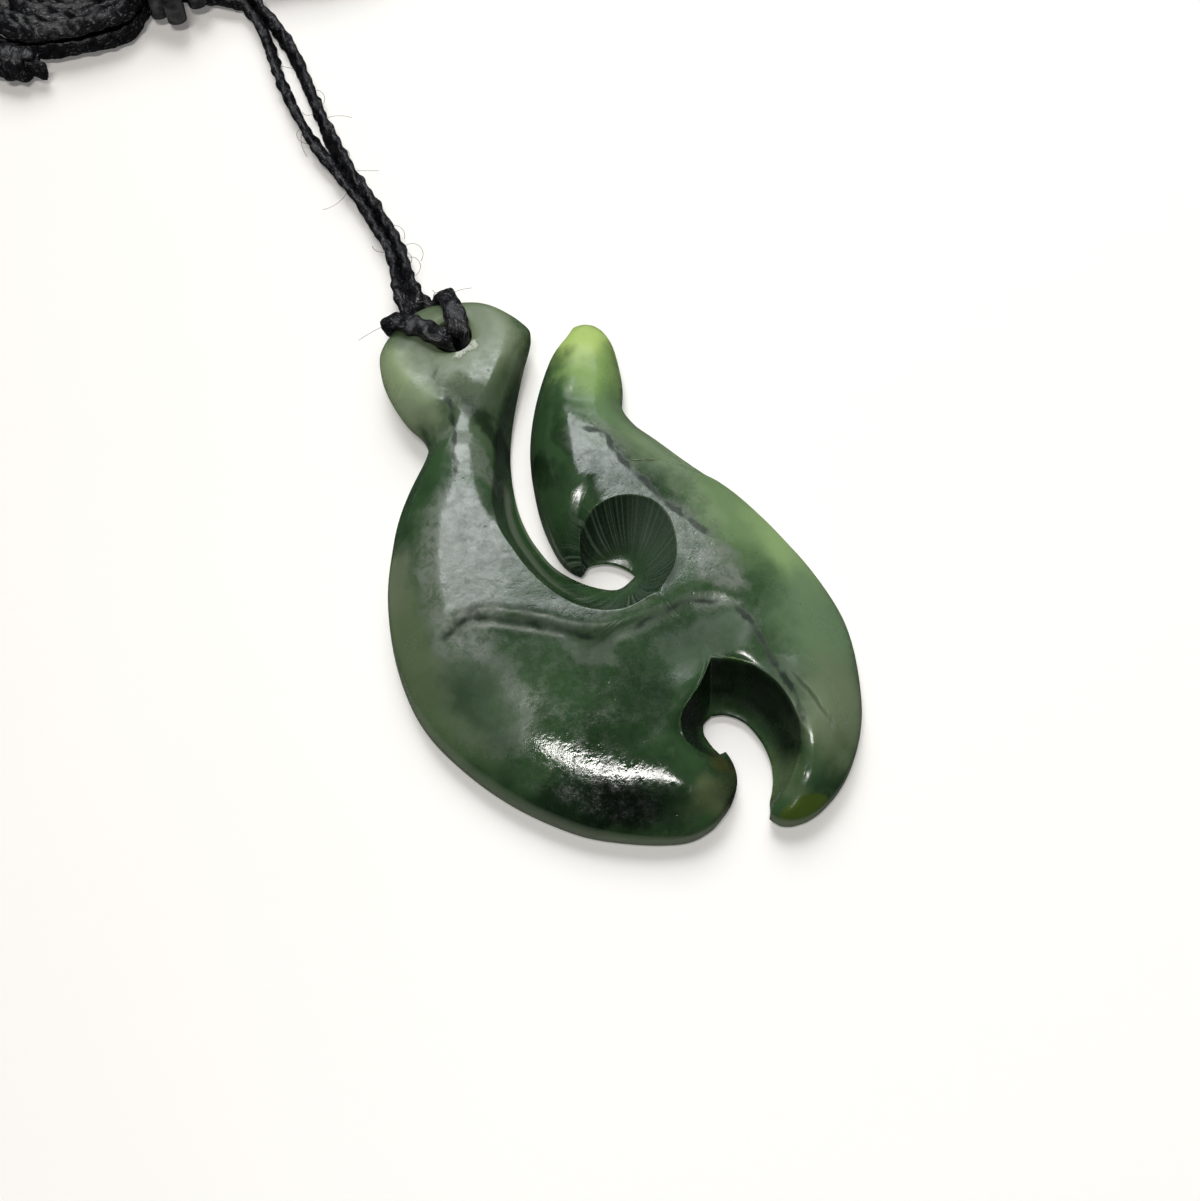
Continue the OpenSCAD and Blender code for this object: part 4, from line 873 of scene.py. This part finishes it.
def makeWaxedCord(s):
    look = Look("waxedCord")
    at = look.place()
    crest = look.attribute("crest")
    along = look.node("ShaderNodeUVMap", {"uv_map": "cordMap"}, {})
    yarnA, yarnB = [look.noise(look.stretch(along, (1.3, 16, 1), (0, 0, turn)), 2.2, 4, 0.65)
                    for turn in (0.1, -0.1)]
    wax = look.noise(at, 700, 4, 0.65)
    # darker in the grooves between the strands: painted shade
    colour = look.mix(look.between(crest, 0.15, 0.8), s["deep"], s["crest"])
    # light streaks along the yarn: painted glints
    paintedGlint = look.between(yarnA, 0.55, 0.64) * look.between(wax, 0.44, 0.58)
    colour = look.mix(paintedGlint * 0.8, colour, s["paintedGlint"])
    specks = look.between(look.noise(at, 3200, 2, 0.6), 0.71, 0.76) * look.between(wax, 0.45, 0.6)
    colour = look.mix(specks * 0.8, colour, s["speck"])
    normal = look.bump(yarnA + yarnB, s["yarn"])
    normal = look.bump(look.noise(at, 2400, 3, 0.7), s["grain"], normal)
    gloss = s["gloss"] + look.between(wax, 0.35, 0.7) * 0.16 + (1 - crest) * 0.12
    return look.finish(Base_Color=colour, Roughness=gloss, Normal=normal, IOR=s["ior"])


tieFinish = {"dark": (0.02, 0.02, 0.022), "light": (0.1, 0.102, 0.108), "gloss": 0.26, "grain": 0.00003}

def makeTieLook(s):
    look = Look("tieWrap")
    at = look.place()
    cloud = look.noise(at, 700, 4, 0.6)
    colour = look.mix(look.between(cloud, 0.35, 0.68), s["dark"], s["light"])
    grain = look.noise(look.stretch(at, (1, 0.2, 1), (0, 0, -0.24)), 2600, 3, 0.6)
    gloss = s["gloss"] + look.between(cloud, 0.3, 0.7) * 0.2
    return look.finish(Base_Color=colour, Roughness=gloss, Normal=look.bump(grain, s["grain"]))


fibreFinish = {"dark": (0.02, 0.02, 0.022), "light": (0.2, 0.19, 0.18), "gloss": 0.5}

def makeFibreLook(s):
    look = Look("strayFibre")
    cloud = look.between(look.noise(look.place(), 800, 2), 0.4, 0.6)
    return look.finish(Base_Color=look.mix(cloud, s["dark"], s["light"]), Roughness=s["gloss"])


paper = {
    "right": (0.88, 0.866, 0.842), "left": (0.79, 0.756, 0.717), "glow": 0.18, "rough": 0.7,
    "turn": 33, "from": -0.09, "to": 0.02,  # where one colour goes over into the other
    "size": 4, "below": 0.00002,
}

def makePaper(s):
    look = Look("paleFloor")
    at = look.place()
    turned = look.stretch(at, (1, 1, 1), (0, 0, math.radians(s["turn"])))
    side = look.node("ShaderNodeSeparateXYZ", {}, {0: turned}) + look.noise(at, 25, 2) * 0.02
    colour = look.mix(look.between(side, s["from"], s["to"]), s["left"], s["right"])
    return look.finish(Base_Color=colour, Roughness=s["rough"], Emission_Color=colour,
                       Emission_Strength=s["glow"])


cordLeft, cordRight = cords["cordLeft"][0], cords["cordRight"][0]
cordLook = makeWaxedCord(waxedCord)
hookStone.data.materials.append(makeGreenstone(greenstone))
for piece in (cordLeft, cordRight, slidingKnot):
    piece.data.materials.append(cordLook)
tieWraps.data.materials.append(makeTieLook(tieFinish))
strayFibres.data.materials.append(makeFibreLook(fibreFinish))
print("materials ready")


bpy.ops.mesh.primitive_plane_add(size=paper["size"], location=(0, 0, -paper["below"]))
floor = bpy.context.object
floor.name = "paleFloor"
floor.data.materials.append(makePaper(paper))
floor.visible_glossy = False  # the room around is darker than the lit floor

studio = {"colour": (0.92, 0.97, 1, 1), "strength": 0.035}

world = bpy.data.worlds.new("studio")
scene.world = world
world.use_nodes = True
backdrop = world.node_tree.nodes["Background"].inputs
backdrop["Color"].default_value = studio["colour"]
backdrop["Strength"].default_value = studio["strength"]
scene.view_settings.view_transform = "Standard"

lights = {
    # direction from the object, distance, width and height in m, turn in degrees, radiance, colour, and
    # whether the gloss shows it
    "window": ((0.2, 0.5, 0.84), 1.2, (0.36, 0.4), 0, 8, (0.95, 0.98, 1), True),
    "windowLow": ((0.3, 0.72, 0.6), 1.2, (0.8, 0.3), 0, 2, (0.95, 0.98, 1), True),
    "lamp": ((-0.2, -0.112, 0.97), 1.2, (0.4, 0.11), 40, 38, (1, 0.98, 0.95), True),
    "ceiling": ((0.36, 0.56, 0.75), 1.2, (1, 1), 0, 2.7, (1, 0.99, 0.97), False),
}

def addLight(name, direction, distance, size, turn, radiance, colour, glossy):
    data = bpy.data.lights.new(name, "AREA")
    data.shape = "RECTANGLE"
    data.size, data.size_y = size
    data.energy = radiance * math.pi * size[0] * size[1]
    data.color = colour
    back = Vector(direction).normalized()
    level = Matrix.Rotation(math.radians(turn), 3, back) @ Vector((-back.y, back.x, 0)).normalized()
    lamp = newPiece(name, data)
    lamp.location = back * distance
    lamp.rotation_euler = Matrix((level, back.cross(level), back)).transposed().to_euler()
    lamp.visible_glossy = glossy

for name, light in lights.items():
    addLight(name, *light)
print("floor and lights ready")


for piece in (hookStone, tieWraps, slidingKnot, strayFibres, cordLeft, cordRight):
    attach(piece, "root")
    "greenstone" if piece == hookStone else "tie" if piece == tieWraps else "cord"
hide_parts("stone")
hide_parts("hitch", "cord_left", "hank")
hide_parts("cord_right")
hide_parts("tie")
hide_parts("knot")

for name, carried in (("cordLeft", [slidingKnot, tieWraps, strayFibres]), ("cordRight", [])):
    piece, path, length = cords[name]  # every fifth point of the path is enough for its line
    line = [tuple(p) for p in path[::5].tolist()] + [tuple(path[-1].tolist())]
    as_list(carried)
